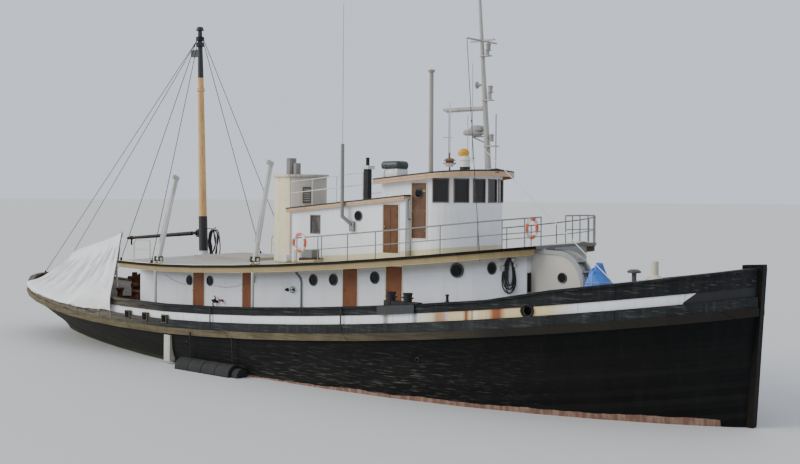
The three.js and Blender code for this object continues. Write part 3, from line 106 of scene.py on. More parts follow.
def feed(node, inputs):
    """Gives each input its link or its plain value."""
    for label, given in inputs.items():
        if isinstance(given, Value):
            given.tree.links.new(given.socket, node.inputs[label])
        else:
            node.inputs[label].default_value = given


def put(tree, kind, inputs=None, **settings):
    """One shader node, as the values that it gives, by number and by name."""
    made = tree.nodes.new("ShaderNode" + kind)
    for label, setting in settings.items():
        setattr(made, label, setting)
    feed(made, inputs or {})
    values = {}
    for number, socket in enumerate(made.outputs):
        values[number] = values[socket.name] = Value(tree, socket)
    return values


def ramped(value, low, high, least=0.0, most=1.0):
    """From least at low to most at high, and held beyond them."""
    span = {"Value": value, "From Min": low, "From Max": high, "To Min": least, "To Max": most}
    return put(value.tree, "MapRange", span)[0]


def within(value, low, high, soft=0.01):
    """1 between two places, with ends that fade over a little on both sides."""
    return ramped(value, low - soft, low + soft) * ramped(value, high + soft, high - soft)


def noise(place, scale, detail, rough=0.6):
    form = {"Vector": place, "Scale": scale, "Detail": detail, "Roughness": rough}
    return put(place.tree, "TexNoise", form)[0]


def tint(red, green, blue):
    """A paint's screen colour as the light it sends back."""
    return (*(((c / 255 + 0.055) / 1.055) ** 2.4 for c in (red, green, blue)), 1.0)


def mixed(share, under, over):
    """A colour laid over another by a share of it. Either may be a value or a screen colour."""
    under, over = (c if isinstance(c, Value) else tint(*c) for c in (under, over))
    return put(share.tree, "Mix", {0: share, 6: under, 7: over}, data_type="RGBA")[2]


def laid(base, *coats):
    """Colours laid over a base in turn, each by its own share."""
    for share, colour in coats:
        base = mixed(share, base, colour)
    return base


def new_group(name, **defaults):
    """A node group that materials share, and the values that it is given."""
    group = bpy.data.node_groups.new(name, "ShaderNodeTree")
    for label, value in defaults.items():
        socket = group.interface.new_socket(label, in_out="INPUT", socket_type="NodeSocketFloat")
        socket.default_value = value
    given = group.nodes.new("NodeGroupInput").outputs
    return group, {socket.name: Value(group, socket) for socket in given}


def send(group, **results):
    """The values that a node group gives out."""
    for label in results:
        group.interface.new_socket(label, in_out="OUTPUT", socket_type="NodeSocketFloat")
    feed(group.nodes.new("NodeGroupOutput"), results)


# Weather on any coat: soft patches, rain streaks, long scrapes and brush grain
weather, given = new_group("weather", Patch=0.7, Streak=5.0, Grain=40.0)
spot = put(weather, "TexCoord")["Object"]
tall = put(weather, "Mapping", {"Vector": spot, "Scale": (1, 1, 0.09)})[0]
long = put(weather, "Mapping", {"Vector": spot, "Scale": (0.05, 0.3, 1)})[0]
send(weather, Patches=noise(spot, given["Patch"], 7), Streaks=noise(tall, given["Streak"], 4),
     Scrapes=noise(long, given["Grain"], 5), Grain=noise(spot, given["Grain"], 3))

# Where a point lies aboard: its place, its height over the sheer, and how far it faces up.
# The sheer is lowest a little aft of amidships, and rises by a power of the way to either end.
SHEER_X, SHEER_Z = -5, 1.22
FORE_RUN, FORE_POWER, FORE_RISE = 23.9, 1.62, 2.14
AFT_RUN, AFT_POWER, AFT_RISE = 14.2, 2, 1.03
aboard, _ = new_group("aboard")
place = put(aboard, "SeparateXYZ", {0: put(aboard, "TexCoord")["Object"]})
fore = ((place["X"] - SHEER_X) / FORE_RUN | 0) ** FORE_POWER
aft = ((SHEER_X - place["X"]) / AFT_RUN | 0) ** AFT_POWER
above = place["Z"] - SHEER_Z - (fore * FORE_RISE + aft * AFT_RISE)
facing = put(aboard, "SeparateXYZ", {0: put(aboard, "NewGeometry")["Normal"]})["Z"]
send(aboard, X=place["X"], Y=place["Y"], Z=place["Z"], Above=above, Up=facing)

# Planks laid edge to edge: dark seams, butts, and a tone of its own for each plank
BUTT_GAP = 0.0012
planks, given = new_group("planks", Across=0.0, Along=0.0, Width=0.15, Length=6.0, Gap=0.05)
row = given["Across"] / given["Width"]
tone = put(planks, "TexWhiteNoise", {"W": row.math("FLOOR")}, noise_dimensions="1D")[0]
butt = (given["Along"] / given["Length"] + tone).math("PINGPONG", 0.5)
seam = row.math("PINGPONG", 0.5) < given["Gap"]
send(planks, Seam=seam | (butt < BUTT_GAP), Tone=tone)


def planked(across, along, width, gap=0.05):
    lay = {"Across": across, "Along": along, "Width": width, "Gap": gap}
    return put(across.tree, "Group", lay, node_tree=planks)


def new_material(name):
    material = bpy.data.materials.new(name)
    material.use_nodes = True
    return material, material.node_tree, material.node_tree.nodes["Principled BSDF"]


def coat(material, *names):
    for name in names:
        nodes[name].material_slots[0].material = material


def painted(name, colour, faded, grime, layers=None, fade=0.6, streak=0.4, rough=0.6, relief=0.3, metal=0.0,
            patch=0.7, rain=5.0, grain=40.0, shine=0.5, on=()):
    """A weathered coat: faded in patches, streaked by rain, grained by the brush, and put on
    the nodes named in on. Layers add the marks that the piece has at its own places."""
    material, tree, shader = new_material(name)
    marks = put(tree, "Group", {"Patch": patch, "Streak": rain, "Grain": grain}, node_tree=weather)
    base = mixed(ramped(marks["Patches"], 0.42, 0.68) * fade, colour, faded)
    base = mixed(ramped(marks["Streaks"], 0.52, 0.74) * streak, base, grime)
    height = marks["Grain"]
    if layers:
        base, height = layers(base, put(tree, "Group", node_tree=aboard), marks)
    bump = put(tree, "Bump", {"Height": height, "Strength": relief, "Distance": 0.012})[0]
    gloss = ramped(marks["Grain"], 0, 1, rough - 0.12, rough + 0.12)
    feed(shader, {"Base Color": base, "Roughness": gloss, "Normal": bump, "Metallic": metal,
                  "Specular IOR Level": shine})
    coat(material, *on)
    return material


def marked(mask, colour):
    """The layers of a coat that has one mark of another colour."""
    return lambda base, at, marks: (mixed(mask(at), base, colour), marks["Grain"])


def hull_layers(base, at, marks):
    strakes = planked(at["Above"], at["X"], 0.19, 0.035)
    rubbed = ramped(marks["Scrapes"], 0.54, 0.7) * within(at["X"], 0, 11, 3) * 0.5
    height = at["Z"] + (marks["Patches"] - 0.5) * 0.22
    weed = ramped(height, 0.26, 0.02) * ramped(at["X"], 3, -6) * 0.8
    band = height < ramped(at["X"], -3, 17, 0.02, 0.22)
    pink = mixed(ramped(marks["Streaks"], 0.45, 0.6), (122, 92, 78), (148, 122, 106))
    bottom = mixed(ramped(marks["Patches"], 0.5, 0.62), (112, 46, 36), (84, 74, 52))
    deck = planked(at["Y"], at["X"], 0.14)
    wood = mixed(deck["Tone"], (122, 112, 96), (92, 86, 76))
    wood = mixed(deck["Seam"], wood, (28, 26, 24))
    on_deck = (at["Up"] > 0.8) * (at["Above"] > 0.2)
    seams = mixed(on_deck, strakes["Seam"], deck["Seam"])
    base = laid(base, (ramped(at["X"], -1, -16) * 0.8, (52, 49, 40)), (strakes["Tone"] * 0.3, (40, 39, 36)),
                (rubbed * ramped(at["Above"], 0.1, -1.2), (120, 118, 110)), (strakes["Seam"] * 0.75, (4, 4, 4)),
                (weed, (70, 78, 44)), (band * ramped(at["X"], -4, 1) * (at["X"] < 18.05), pink),
                (ramped(at["Z"], -0.03, -0.1), bottom), (on_deck, wood))
    return base, marks["Grain"] + marks["Scrapes"] - seams


painted("black_hull_paint", (8, 8, 9), (18, 18, 18), (26, 26, 23), hull_layers, rough=0.6, relief=0.5, grain=26,
        shine=0.12, on=["hull"])


# Guards and bulwark: two square fir guards along the hull, a white planked stripe between them
# and the black strake, and a capping plank. Wear bares the wood aft, and rust bleeds from bolts.
def guard_layers(base, at, marks):
    scarf = (at["X"] + at["Above"] * 1.2).math("PINGPONG", 3.1)
    joint = scarf < 0.012
    base = laid(base, (ramped(marks["Scrapes"], 0.46, 0.66) * 0.7, (58, 52, 42)),
                (ramped(at["X"], 4, 12), (38, 35, 30)), (joint, (14, 13, 12)))
    return base, marks["Scrapes"] - joint


def black_rail_layers(base, at, marks):
    bare = ramped(at["X"], -4, -9) * ramped(marks["Scrapes"], 0.36, 0.5)
    joint = at["X"].math("PINGPONG", 2.6) < 0.01
    base = laid(base, (ramped(marks["Scrapes"], 0.55, 0.68) * 0.55, (88, 90, 88)), (bare * 0.9, (112, 104, 88)),
                (joint, (8, 8, 8)))
    return base, marks["Scrapes"] - joint


# Stained lengths of the stripe: from and to, along the ship, and how soft their ends are
GRIMY = [(7.62, 7.82, 0.06), (8.84, 9.02, 0.06)]
RUSTED = [(10.8, 10.94, 0.06), (11.72, 12.14, 0.1), (11.06, 11.1, 0.02)]
DARK_RUST = [(11.92, 12.0, 0.03), (10.84, 10.88, 0.02)]
STRIPE_AFT, STRIPE_TIP, STRIPE_FORE, STRIPE_FOOT = -8.1, 17.35, 17.85, 0.575


def zones(along, lengths):
    """How much a place along the ship lies in any of the lengths."""
    share = within(along, *lengths[0])
    for length in lengths[1:]:
        share = share + within(along, *length)
    return share


def stripe_layers(base, at, marks):
    spot = put(base.tree, "TexCoord")["Object"]
    drip = put(base.tree, "Mapping", {"Vector": spot, "Scale": (2.6, 2.6, 0.5)})[0]
    bleed = noise(drip, 1, 6, 0.5)
    yellowed = within(at["X"], 9.4, 14.0, 0.5) * ramped(bleed, 0.25, 0.5) * 0.9
    low = within(at["X"], 9.66, 10.18, 0.1) * ramped(at["Above"], 0.98, 0.8)
    strong = (zones(at["X"], RUSTED) + low * 0.7) * ramped(bleed, 0.05, 0.3)
    joint = at["X"].math("PINGPONG", 1.45) < 0.008
    slope = at["Above"] - (at["X"] - STRIPE_TIP) * 0.75
    tip = (at["X"] > STRIPE_TIP) * (slope < 0.62)
    ends = tip | (at["X"] > STRIPE_FORE) | (at["X"] < STRIPE_AFT) | (at["Above"] < STRIPE_FOOT)
    base = laid(base, (yellowed, (214, 192, 128)), (zones(at["X"], GRIMY) * 0.75, (120, 104, 84)),
                (strong, (150, 80, 32)),
                (zones(at["X"], DARK_RUST) * ramped(bleed, 0.3, 0.5) * 0.85, (96, 52, 30)),
                (joint * 0.6, (90, 84, 74)), (ends, (20, 20, 21)))
    return base, marks["Grain"]


painted("weathered_guard", (98, 88, 66), (124, 114, 90), (66, 62, 52), guard_layers, grain=18, relief=0.8,
        rough=0.85, shine=0.2, on=["guard_lower"])
painted("worn_black_guard", (30, 32, 33), (52, 54, 54), (72, 74, 72), black_rail_layers, grain=18, relief=0.7,
        rough=0.7, shine=0.2, on=["guard_upper"])
painted("white_stripe_paint", (226, 228, 232), (206, 206, 202), (168, 160, 140), stripe_layers, streak=0.3,
        rough=0.55, on=["bulwark_stripe"])
painted("black_rail_paint", (22, 23, 25), (40, 41, 42), (58, 58, 54), black_rail_layers, grain=18, relief=0.7,
        rough=0.7, shine=0.2, on=["bulwark_strake_starboard", "bulwark_strake_port", "rail_cap_starboard",
                                  "rail_cap_port"])
painted("stem_timber", (12, 12, 11), (30, 25, 18), (44, 36, 26), fade=0.8, relief=0.8, grain=14, shine=0.1,
        on=["stem"])

# Fittings on the hull side: sleeved freeing ports, cast mooring-port rings, iron straps, pipe
# outlets and a fairlead, all bolted through the planking
def sheer(x):
    """Height of the hull's sheer over the water at a place along the ship."""
    fore = (max(x - SHEER_X, 0) / FORE_RUN) ** FORE_POWER
    aft = (max(SHEER_X - x, 0) / AFT_RUN) ** AFT_POWER
    return SHEER_Z + FORE_RISE * fore + AFT_RISE * aft


# The deck edge in plan: half-breadth at its end, what it gains inboard, and where it draws in
STERN_HALF, STERN_GAIN, STERN_FROM, STERN_RUN = 0.11, 4.06, -7, 12.1
STEM_HALF, STEM_GAIN, STEM_FROM, STEM_RUN = 0.15, 4.02, 4, 14.95


def deck_half(x):
    """Half the hull's breadth at the deck edge, rounded to the stern and drawn in to the stem."""
    aft = STERN_HALF + STERN_GAIN * max(1 - (max(STERN_FROM - x, 0) / STERN_RUN) ** 2.3, 0) ** 0.5
    fore = STEM_HALF + STEM_GAIN * max(1 - (max(x - STEM_FROM, 0) / STEM_RUN) ** 2.4, 0) ** 0.65
    return min(aft, fore)


def deselect():
    bpy.ops.object.select_all(action="DESELECT")


def faces_where(piece, test):
    """Opens the piece in edit mode with only the faces that pass the test selected."""
    bpy.ops.object.mode_set(mode="EDIT")
    bpy.ops.mesh.select_mode(type="FACE")
    bpy.ops.mesh.select_all(action="DESELECT")
    bpy.ops.object.mode_set(mode="OBJECT")
    for face in piece.data.polygons:
        face.select = test(face)
    bpy.ops.object.mode_set(mode="EDIT")


def block(low, high, ease=0.0, steps=1):
    """A squared piece between two corners, with its edges eased."""
    low, high = Vector(low), Vector(high)
    deselect()
    bpy.ops.mesh.primitive_cube_add(size=1, location=(low + high) / 2)
    piece = bpy.context.object
    piece.scale = high - low
    bpy.ops.object.transform_apply(location=True, rotation=True, scale=True)
    if ease:
        bpy.ops.object.mode_set(mode="EDIT")
        bpy.ops.mesh.bevel(offset=ease, segments=steps, affect="EDGES")
        bpy.ops.object.mode_set(mode="OBJECT")
    return piece


def open_frame(low, high, wall, axis):
    """A block with a square way through it along one axis, as a sleeve or a window frame has."""
    piece = block(low, high)
    faces_where(piece, lambda face: abs(face.normal[axis]) > 0.9)
    bpy.ops.mesh.inset(thickness=wall, use_individual=True)
    bpy.ops.mesh.bridge_edge_loops()
    bpy.ops.mesh.select_all(action="SELECT")
    bpy.ops.mesh.normals_make_consistent(inside=False)
    bpy.ops.object.mode_set(mode="OBJECT")
    return piece


UPRIGHT = (0, 0, 1)


def turned(foot, axis, profile, sides=20):
    """A piece turned on a lathe: a disc drawn out along its axis and resized at each step."""
    foot, axis = Vector(foot), Vector(axis).normalized()
    radius, height = profile[0]
    deselect()
    lean = Vector((0, 0, 1)).rotation_difference(axis).to_euler()
    bpy.ops.mesh.primitive_circle_add(vertices=sides, radius=radius, fill_type="NGON",
                                      location=foot + axis * height, rotation=lean)
    piece = bpy.context.object
    bpy.ops.object.transform_apply(location=True, rotation=True, scale=True)
    bpy.ops.object.mode_set(mode="EDIT")
    bpy.ops.mesh.select_all(action="SELECT")
    for wide, high in profile[1:]:
        bpy.ops.mesh.extrude_region_move(TRANSFORM_OT_translate={"value": axis * (high - height)})
        bpy.ops.transform.resize(value=(wide / radius,) * 3, center_override=foot + axis * high)
        radius, height = wide, high
    bpy.ops.mesh.select_all(action="SELECT")
    bpy.ops.mesh.normals_make_consistent(inside=False)
    bpy.ops.object.mode_set(mode="OBJECT")
    return piece


def ring(centre, axis, radius, thick, sides=28, round_sides=8):
    deselect()
    lean = Vector((0, 0, 1)).rotation_difference(Vector(axis)).to_euler()
    bpy.ops.mesh.primitive_torus_add(location=centre, rotation=lean, major_radius=radius, minor_radius=thick,
                                     major_segments=sides, minor_segments=round_sides)
    bpy.ops.object.transform_apply(location=True, rotation=True, scale=True)
    return bpy.context.object


def drawn_line(paths):
    """Lines through points, as an edge mesh when the radius is left at nothing."""
    deselect()
    bpy.ops.curve.primitive_nurbs_path_add()
    piece = bpy.context.object
    piece.data.splines.clear()
    for path in paths:
        spline = piece.data.splines.new("POLY")
        spline.points.add(len(path) - 1)
        for point, place in zip(spline.points, path):
            point.co = (*place, 1)
    return piece


def bars(paths, radius, sides=6):
    """Bars, pipes or wires along paths of points, with closed ends, as one mesh."""
    piece = drawn_line(paths)
    piece.data.bevel_depth = radius
    piece.data.bevel_resolution = sides // 2 - 2
    piece.data.use_fill_caps = True
    bpy.ops.object.convert(target="MESH")
    return bpy.context.object


def thickened(piece, thick, offset=-1):
    wall = piece.modifiers.new("wall", "SOLIDIFY")
    wall.thickness, wall.offset = thick, offset
    bpy.ops.object.modifier_apply(modifier="wall")
    return piece


def board(path, drop, thick):
    """A board bent along a path of points, hanging down from it."""
    drawn_line([path])
    bpy.ops.object.convert(target="MESH")
    piece = bpy.context.object
    bpy.ops.object.mode_set(mode="EDIT")
    bpy.ops.mesh.select_mode(type="EDGE")
    bpy.ops.mesh.select_all(action="SELECT")
    bpy.ops.mesh.extrude_region_move(TRANSFORM_OT_translate={"value": (0, 0, -drop)})
    bpy.ops.object.mode_set(mode="OBJECT")
    return thickened(piece, thick, 0)


def copied(piece, move):
    """A copy with its own mesh, moved, and turned right side out if the move mirrors it."""
    twin = piece.copy()
    twin.data = piece.data.copy()
    scene.collection.objects.link(twin)
    twin.data.transform(move)
    if move.determinant() < 0:
        twin.data.flip_normals()
    return twin


def placed(pattern, places):
    """The pattern's copies at all its places. The pattern itself goes."""
    copies = [copied(pattern, place) for place in places]
    bpy.data.objects.remove(pattern)
    return copies


ACROSS = Matrix.Scale(-1, 4, (0, 1, 0))


def both_sides(pieces):
    return pieces + [copied(piece, ACROSS) for piece in pieces]


def fitted(name, finish, pieces, body="vessel", smooth=35):
    """The parts of a piece joined, painted and fixed to what carries them."""
    deselect()
    for part in pieces:
        part.select_set(True)
    bpy.context.view_layer.objects.active = pieces[0]
    if len(pieces) > 1:
        bpy.ops.object.join()
    piece = bpy.context.object
    bpy.ops.object.shade_smooth_by_angle(angle=radians(smooth))
    piece.name = piece.data.name = name
    piece.data.materials.clear()
    piece.data.materials.append(finish)
    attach(piece, body)
    return piece


sleeve_paint = painted("port_sleeve", (78, 70, 60), (98, 88, 74), (40, 36, 32), metal=0.2, rough=0.7)
iron = painted("black_iron", (30, 30, 31), (48, 46, 44), (84, 58, 40), metal=0.5, rough=0.6)
sleeves = [open_frame((x - 0.17, -4.3, 1.64), (x + 0.17, -4.05, 1.98), 0.035, 1) for x in (-6.5, -5.31, -4.02)]
fitted("freeing_port_sleeves", sleeve_paint, both_sides(sleeves))
PORT_X, PORT_Z = 12.95, 3.32
port_y = deck_half(PORT_X)
flare = Vector((deck_half(PORT_X - 0.15) - deck_half(PORT_X + 0.15), -0.3, 0)).normalized()
lips = [ring((PORT_X, -port_y - 0.01, PORT_Z), flare, 0.19, 0.04),
        ring((PORT_X, -port_y + 0.1, PORT_Z), flare, 0.17, 0.03)]
sleeve = turned((PORT_X, -port_y, PORT_Z), -flare, [(0.166, -0.03), (0.166, 0.3)], 28)
faces_where(sleeve, lambda face: abs(face.normal.dot(flare)) > 0.9)
bpy.ops.mesh.delete(type="FACE")
bpy.ops.object.mode_set(mode="OBJECT")
thickened(sleeve, 0.008)
# A black iron disc closes the sleeve's inboard end: painted shade that stands in for the dark inside of the
# port.
painted_shade_disc = turned((PORT_X, -port_y, PORT_Z), -flare, [(0.18, 0.3), (0.18, 0.31), (0.03, 0.318)], 28)
fitted("mooring_port_rings", iron, both_sides(lips + [sleeve, painted_shade_disc]))
RAIL_HIGH = 1.18
straps = []
for x in (5.77, -1.2):
    y, z = -deck_half(x) - 0.085, sheer(x) + RAIL_HIGH
    straps.append(board([(x, y, z), (x + 0.06, y, z)], 0.84, 0.014))
outlets = [turned((x, -4.1, z), (0, -1, 0), [(0.085, 0), (0.085, 0.06), (0.06, 0.07), (0.05, 0.02)], 18)
           for x, z in ((-2.73, 0.94), (3.48, 1.08), (9.2, 1.5))]
fairlead_x, fairlead_y = 10.14, -deck_half(10.14) + 0.06
fairlead_z = sheer(fairlead_x) + 1.17
fairlead = [turned((fairlead_x, fairlead_y, fairlead_z), UPRIGHT,
                   [(0.09, 0), (0.09, 0.02), (0.05, 0.05), (0.045, 0.2), (0.07, 0.24), (0.05, 0.27)], 16)]
fitted("hull_side_irons", iron, both_sides(straps + outlets + fairlead))
chafe_edge = [(x, -deck_half(x) - 0.082, sheer(x) + 1.17) for x in (7.42, 7.8, 8.2, 8.6, 8.96)]
chafe_paint = painted("chafing_plate", (52, 56, 58), (42, 44, 44), (84, 66, 50), metal=0.3, rough=0.6)
fitted("chafing_plates", chafe_paint, both_sides([board(chafe_edge, 0.3, 0.012)]))

# Propeller and rudder: a cast bronze screw gone green in places, and a wooden rudder in worn red
# bottom paint, both under water
painted("bronze", (168, 128, 66), (120, 104, 70), (84, 110, 84), metal=0.85, rough=0.45, grain=18,
        on=["propeller"])
painted("rudder_paint", (70, 40, 34), (88, 70, 50), (60, 66, 44), rough=0.75, relief=0.6, on=["rudder"])


# Deckhouse: painted plywood panels on studs, with battened joints, stained by rain and dirty at the foot.
# A band under the deck edge above is painted darker as the shade of its overhang.
def house_layers(base, at, marks):
    joint = at["X"].math("PINGPONG", 1.22) < 0.006
    foot = ramped(at["Above"], 1.0, 0.5) * ramped(marks["Streaks"], 0.4, 0.65) * 0.5
    # Painted shade: the wall just under the boat deck's overhang is darkened where its shadow falls.
    shade = within(at["Above"], 2.24, 2.6, 0.1) * 0.6
    coving = within(at["Above"], 2.8, 3.0, 0.004)
    base = laid(base, (joint * 0.35, (128, 126, 122)), (foot, (150, 142, 122)), (shade, (140, 130, 100)),
                (coving, (206, 196, 162)))
    return base, marks["Grain"]


painted("white_house_paint", (230, 233, 238), (220, 222, 225), (200, 198, 190), house_layers, fade=0.7,
        streak=0.28, rough=0.45, relief=0.15, grain=22, on=["main_deckhouse", "upper_house", "wheelhouse"])


# Portholes: cast rims bolted to the wall with a slightly domed glass, one made and then copied
HOUSE_HALF, UPPER_HALF = 3.0, 2.2
HOUSE_DRAW, HOUSE_FROM, HOUSE_RUN = 1.1, 7.8, 4.15


def house_half(x):
    """Half the main deckhouse's breadth: straight walls that draw in towards the fore end."""
    return HOUSE_HALF - HOUSE_DRAW * (max(x - HOUSE_FROM, 0) / HOUSE_RUN) ** 2.2


def glazed(name, colour, rough=0.04, dust=0.2, clear=0.0, shine=0.5):
    """Glass that is dusty in streaks, and clear by a share or dark."""
    material, tree, shader = new_material(name)
    marks = put(tree, "Group", {"Patch": 3.0, "Streak": 9.0, "Grain": 30.0}, node_tree=weather)
    dusty = mixed(ramped(marks["Streaks"], 0.4, 0.8) * dust, colour, (96, 98, 94))
    haze = ramped(marks["Patches"], 0, 1, rough, rough + 0.14)
    feed(shader, {"Base Color": dusty, "Roughness": haze, "IOR": 1.45, "Specular IOR Level": shine})
    shader.inputs["Transmission Weight"].default_value = clear
    return material


rim_paint = painted("porthole_rim", (70, 72, 70), (100, 100, 96), (60, 54, 44), metal=0.4, rough=0.5)
# This glass is opaque and nearly black: painted shade for the unlit rooms behind it. The door lights and the
# fore slot use it too.
dark_glass = glazed("dark_glass", (8, 10, 11), dust=0.1, shine=0.2)
PORTHOLES = [  # x, z, wall half-breadth, turn off square, radius, width over height
    (-3.99, 3.31, HOUSE_HALF, 0, 0.18, 1), (-2.69, 3.36, HOUSE_HALF, 0, 0.18, 1),
    (3.23, 3.72, HOUSE_HALF, 0, 0.19, 1), (4.26, 3.79, HOUSE_HALF, 0, 0.19, 1),
    (6.28, 3.97, HOUSE_HALF, 0, 0.19, 1), (9.76, 4.39, house_half(9.76), 0.21, 0.21, 1),
    (10.92, 4.5, house_half(10.92), 0.41, 0.18, 0.74), (4.74, 6.12, UPPER_HALF, 0, 0.17, 1)]
rim = turned((0, 0, 0), (0, -1, 0), [(1.18, -0.02), (1.18, 0.12), (1.08, 0.2), (0.94, 0.16), (0.92, 0.02)], 26)
pane = turned((0, 0, 0), (0, -1, 0), [(0.95, 0.0), (0.93, 0.04), (0.6, 0.07), (0.25, 0.085)], 26)
in_walls = []
for x, z, half, slant, radius, narrow in PORTHOLES:
    place = Matrix.Translation((x, -half, z)) @ Matrix.Rotation(slant, 4, "Z")
    in_walls.append(place @ Matrix.Scale(radius, 4) @ Matrix.Scale(narrow, 4, (1, 0, 0)))
in_hood = Matrix.Translation((13.14, -1.63, 4.26)) @ Matrix.Scale(0.15, 4)
portholes = in_walls + [ACROSS @ place for place in in_walls] + [in_hood]
fitted("porthole_rims", rim_paint, placed(rim, portholes))
fitted("porthole_glass", dark_glass, placed(pane, portholes))

# Wheelhouse and upper house windows: brown wooden sashes set in the wall, each with one pane
sash_paint = painted("worn_sash", (104, 90, 78), (128, 116, 104), (74, 62, 52), rough=0.5)
window_glass = glazed("window_glass", (26, 25, 22), 0.02, clear=0.55)
FRONT_X, FRONT_LONG, FRONT_WIDE, SILL_Z = 7.75, 1.31, 1.95, 6.64  # the round front
sash = open_frame((-0.07, -0.296, 0.004), (0.012, 0.296, 0.856), 0.035, 0)
sheet_glass = block((-0.036, -0.265, 0.035), (-0.028, 0.265, 0.825), 0.001)
front_windows = []
for degrees in (-67, -39.5, -15.5, 7, 29.5, 54, 82):
    along, across = cos(radians(degrees)), sin(radians(degrees))
    facing = atan2(across / FRONT_WIDE, along / FRONT_LONG)
    place = Matrix.Translation((FRONT_X + FRONT_LONG * along, FRONT_WIDE * across, SILL_Z))
    front_windows.append(place @ Matrix.Rotation(facing, 4, "Z"))
side_sash = open_frame((2.233, -2.21, 5.403), (2.787, -2.14, 6.127), 0.04, 1)
fitted("window_sashes", sash_paint, placed(sash, front_windows) + both_sides([side_sash]))
fitted("window_panes", window_glass, placed(sheet_glass, front_windows))
side_glass = block((2.27, -2.178, 5.44), (2.75, -2.17, 6.09), 0.001)
side_pane_glass = glazed("side_pane_glass", (206, 212, 210), 0.02, dust=0.1, clear=0.92)
fitted("side_window_panes", side_pane_glass, both_sides([side_glass]))

# Curtains in the upper house: dark red cotton gathered on a rod behind the glass
deselect()
bpy.ops.mesh.primitive_grid_add(x_subdivisions=60, y_subdivisions=12, size=1)
curtain = bpy.context.object
for vertex in curtain.data.vertices:
    along, down = vertex.co.x + 0.5, vertex.co.y + 0.5
    fold = 0.016 * sin(along * 46 + 2.2 * sin(down * 2)) * (0.5 + 0.5 * down)
    vertex.co = (2.24 + 0.54 * along + 0.25 * fold * down, -2.1 + fold, 6.14 - 0.76 * down)
bpy.ops.object.shade_smooth()
cotton = painted("red_curtain_cotton", (112, 40, 40), (128, 52, 50), (80, 28, 30), rough=0.9, grain=120)
curtain = fitted("curtain_starboard", cotton, [curtain], smooth=180)
curtain_port = fitted("curtain_port", cotton, [copied(curtain, ACROSS)], smooth=180)

# Pipes and fittings on the deckhouse walls: a water pipe, a hand wheel on its valve, taps, wires,
# a red hydrant and lantern boxes
wall_pipe = bars([[(2.62, -3.04, 2.62), (2.62, -3.04, 3.62), (2.56, -3.04, 3.76), (2.36, -3.04, 3.92),
                   (2.3, -3.0, 3.95)]], 0.033, 8)
pipe_grey = painted("wall_pipe_grey", (128, 130, 130), (106, 106, 104), (92, 80, 64), metal=0.3, rough=0.5)
fitted("deckhouse_wall_pipe", pipe_grey, both_sides([wall_pipe]))
OFF_WALL = (0, -1, 0)
WALL_Y = -2.99
VALVE_X, VALVE_Z, WHEEL_Y, WHEEL_HALF = 2.2, 3.3, -3.075, 0.12
spokes = [[(VALVE_X - WHEEL_HALF, WHEEL_Y, VALVE_Z), (VALVE_X + WHEEL_HALF, WHEEL_Y, VALVE_Z)],
          [(VALVE_X, WHEEL_Y, VALVE_Z - WHEEL_HALF), (VALVE_X, WHEEL_Y, VALVE_Z + WHEEL_HALF)]]
valve = [ring((VALVE_X, WHEEL_Y, VALVE_Z), (0, 1, 0), WHEEL_HALF, 0.012), bars(spokes, 0.009)]
VALVE_STEM = [(0.055, 0), (0.055, 0.03), (0.03, 0.04), (0.028, 0.12), (0.01, 0.13)]
KNOB = [(0.07, 0), (0.07, 0.03), (0.045, 0.05), (0.05, 0.12), (0.02, 0.14)]
TAP = [(0.06, 0), (0.06, 0.05), (0.035, 0.06), (0.035, 0.14), (0.05, 0.16), (0.03, 0.19)]
for x, z, profile, sides in ((VALVE_X, VALVE_Z, VALVE_STEM, 12), (1.86, 3.28, KNOB, 14), (-2.36, 2.6, TAP, 12),
                             (-2.22, 2.55, TAP, 12)):
    valve.append(turned((x, WALL_Y, z), OFF_WALL, profile, sides))
spouts = bars([[(-2.36, -3.1, 2.6), (-2.36, -3.12, 2.42), (-2.36, -3.08, 2.36)],
               [(-2.22, -3.1, 2.55), (-2.22, -3.1, 2.72), (-2.3, -3.1, 2.78)]], 0.025, 8)
wiring = bars([[(-5.62, -3.008, 3.46), (-5.2, -3.008, 3.3), (-4.7, -3.008, 3.18), (-4.2, -3.008, 3.12)],
               [(-2.45, -3.008, 3.2), (-1.8, -3.008, 3.14), (-1.1, -3.008, 3.22), (-0.4, -3.008, 3.42)]], 0.007)
fitted("deckhouse_pipework", iron, both_sides(valve + [spouts, wiring]))
HYDRANT = [(0.06, 0), (0.06, 0.04), (0.03, 0.05), (0.03, 0.12), (0.05, 0.13), (0.05, 0.16)]
hydrant = [turned((-1.9, WALL_Y, 2.62), OFF_WALL, HYDRANT, 14),
           ring((-1.9, -3.17, 2.62), (0, 1, 0), 0.07, 0.012)]
red_paint = painted("red_valve_paint", (122, 38, 34), (142, 62, 54), (80, 34, 30), rough=0.5)
fitted("wall_hydrants", red_paint, both_sides(hydrant))
lantern = [block((-0.1, -3.085, 3.44), (0.03, WALL_Y, 3.7), 0.012, 2),
           turned((-0.035, -3.08, 3.57), OFF_WALL, [(0.04, 0), (0.045, 0.02), (0.03, 0.04)], 14),
           block((11.2, -2.36, 4.42), (11.36, -2.22, 4.6), 0.012, 2)]
lantern_paint = painted("lantern_box", (176, 176, 170), (150, 150, 146), (110, 100, 84), metal=0.3)
fitted("wall_lanterns", lantern_paint, both_sides(lantern))
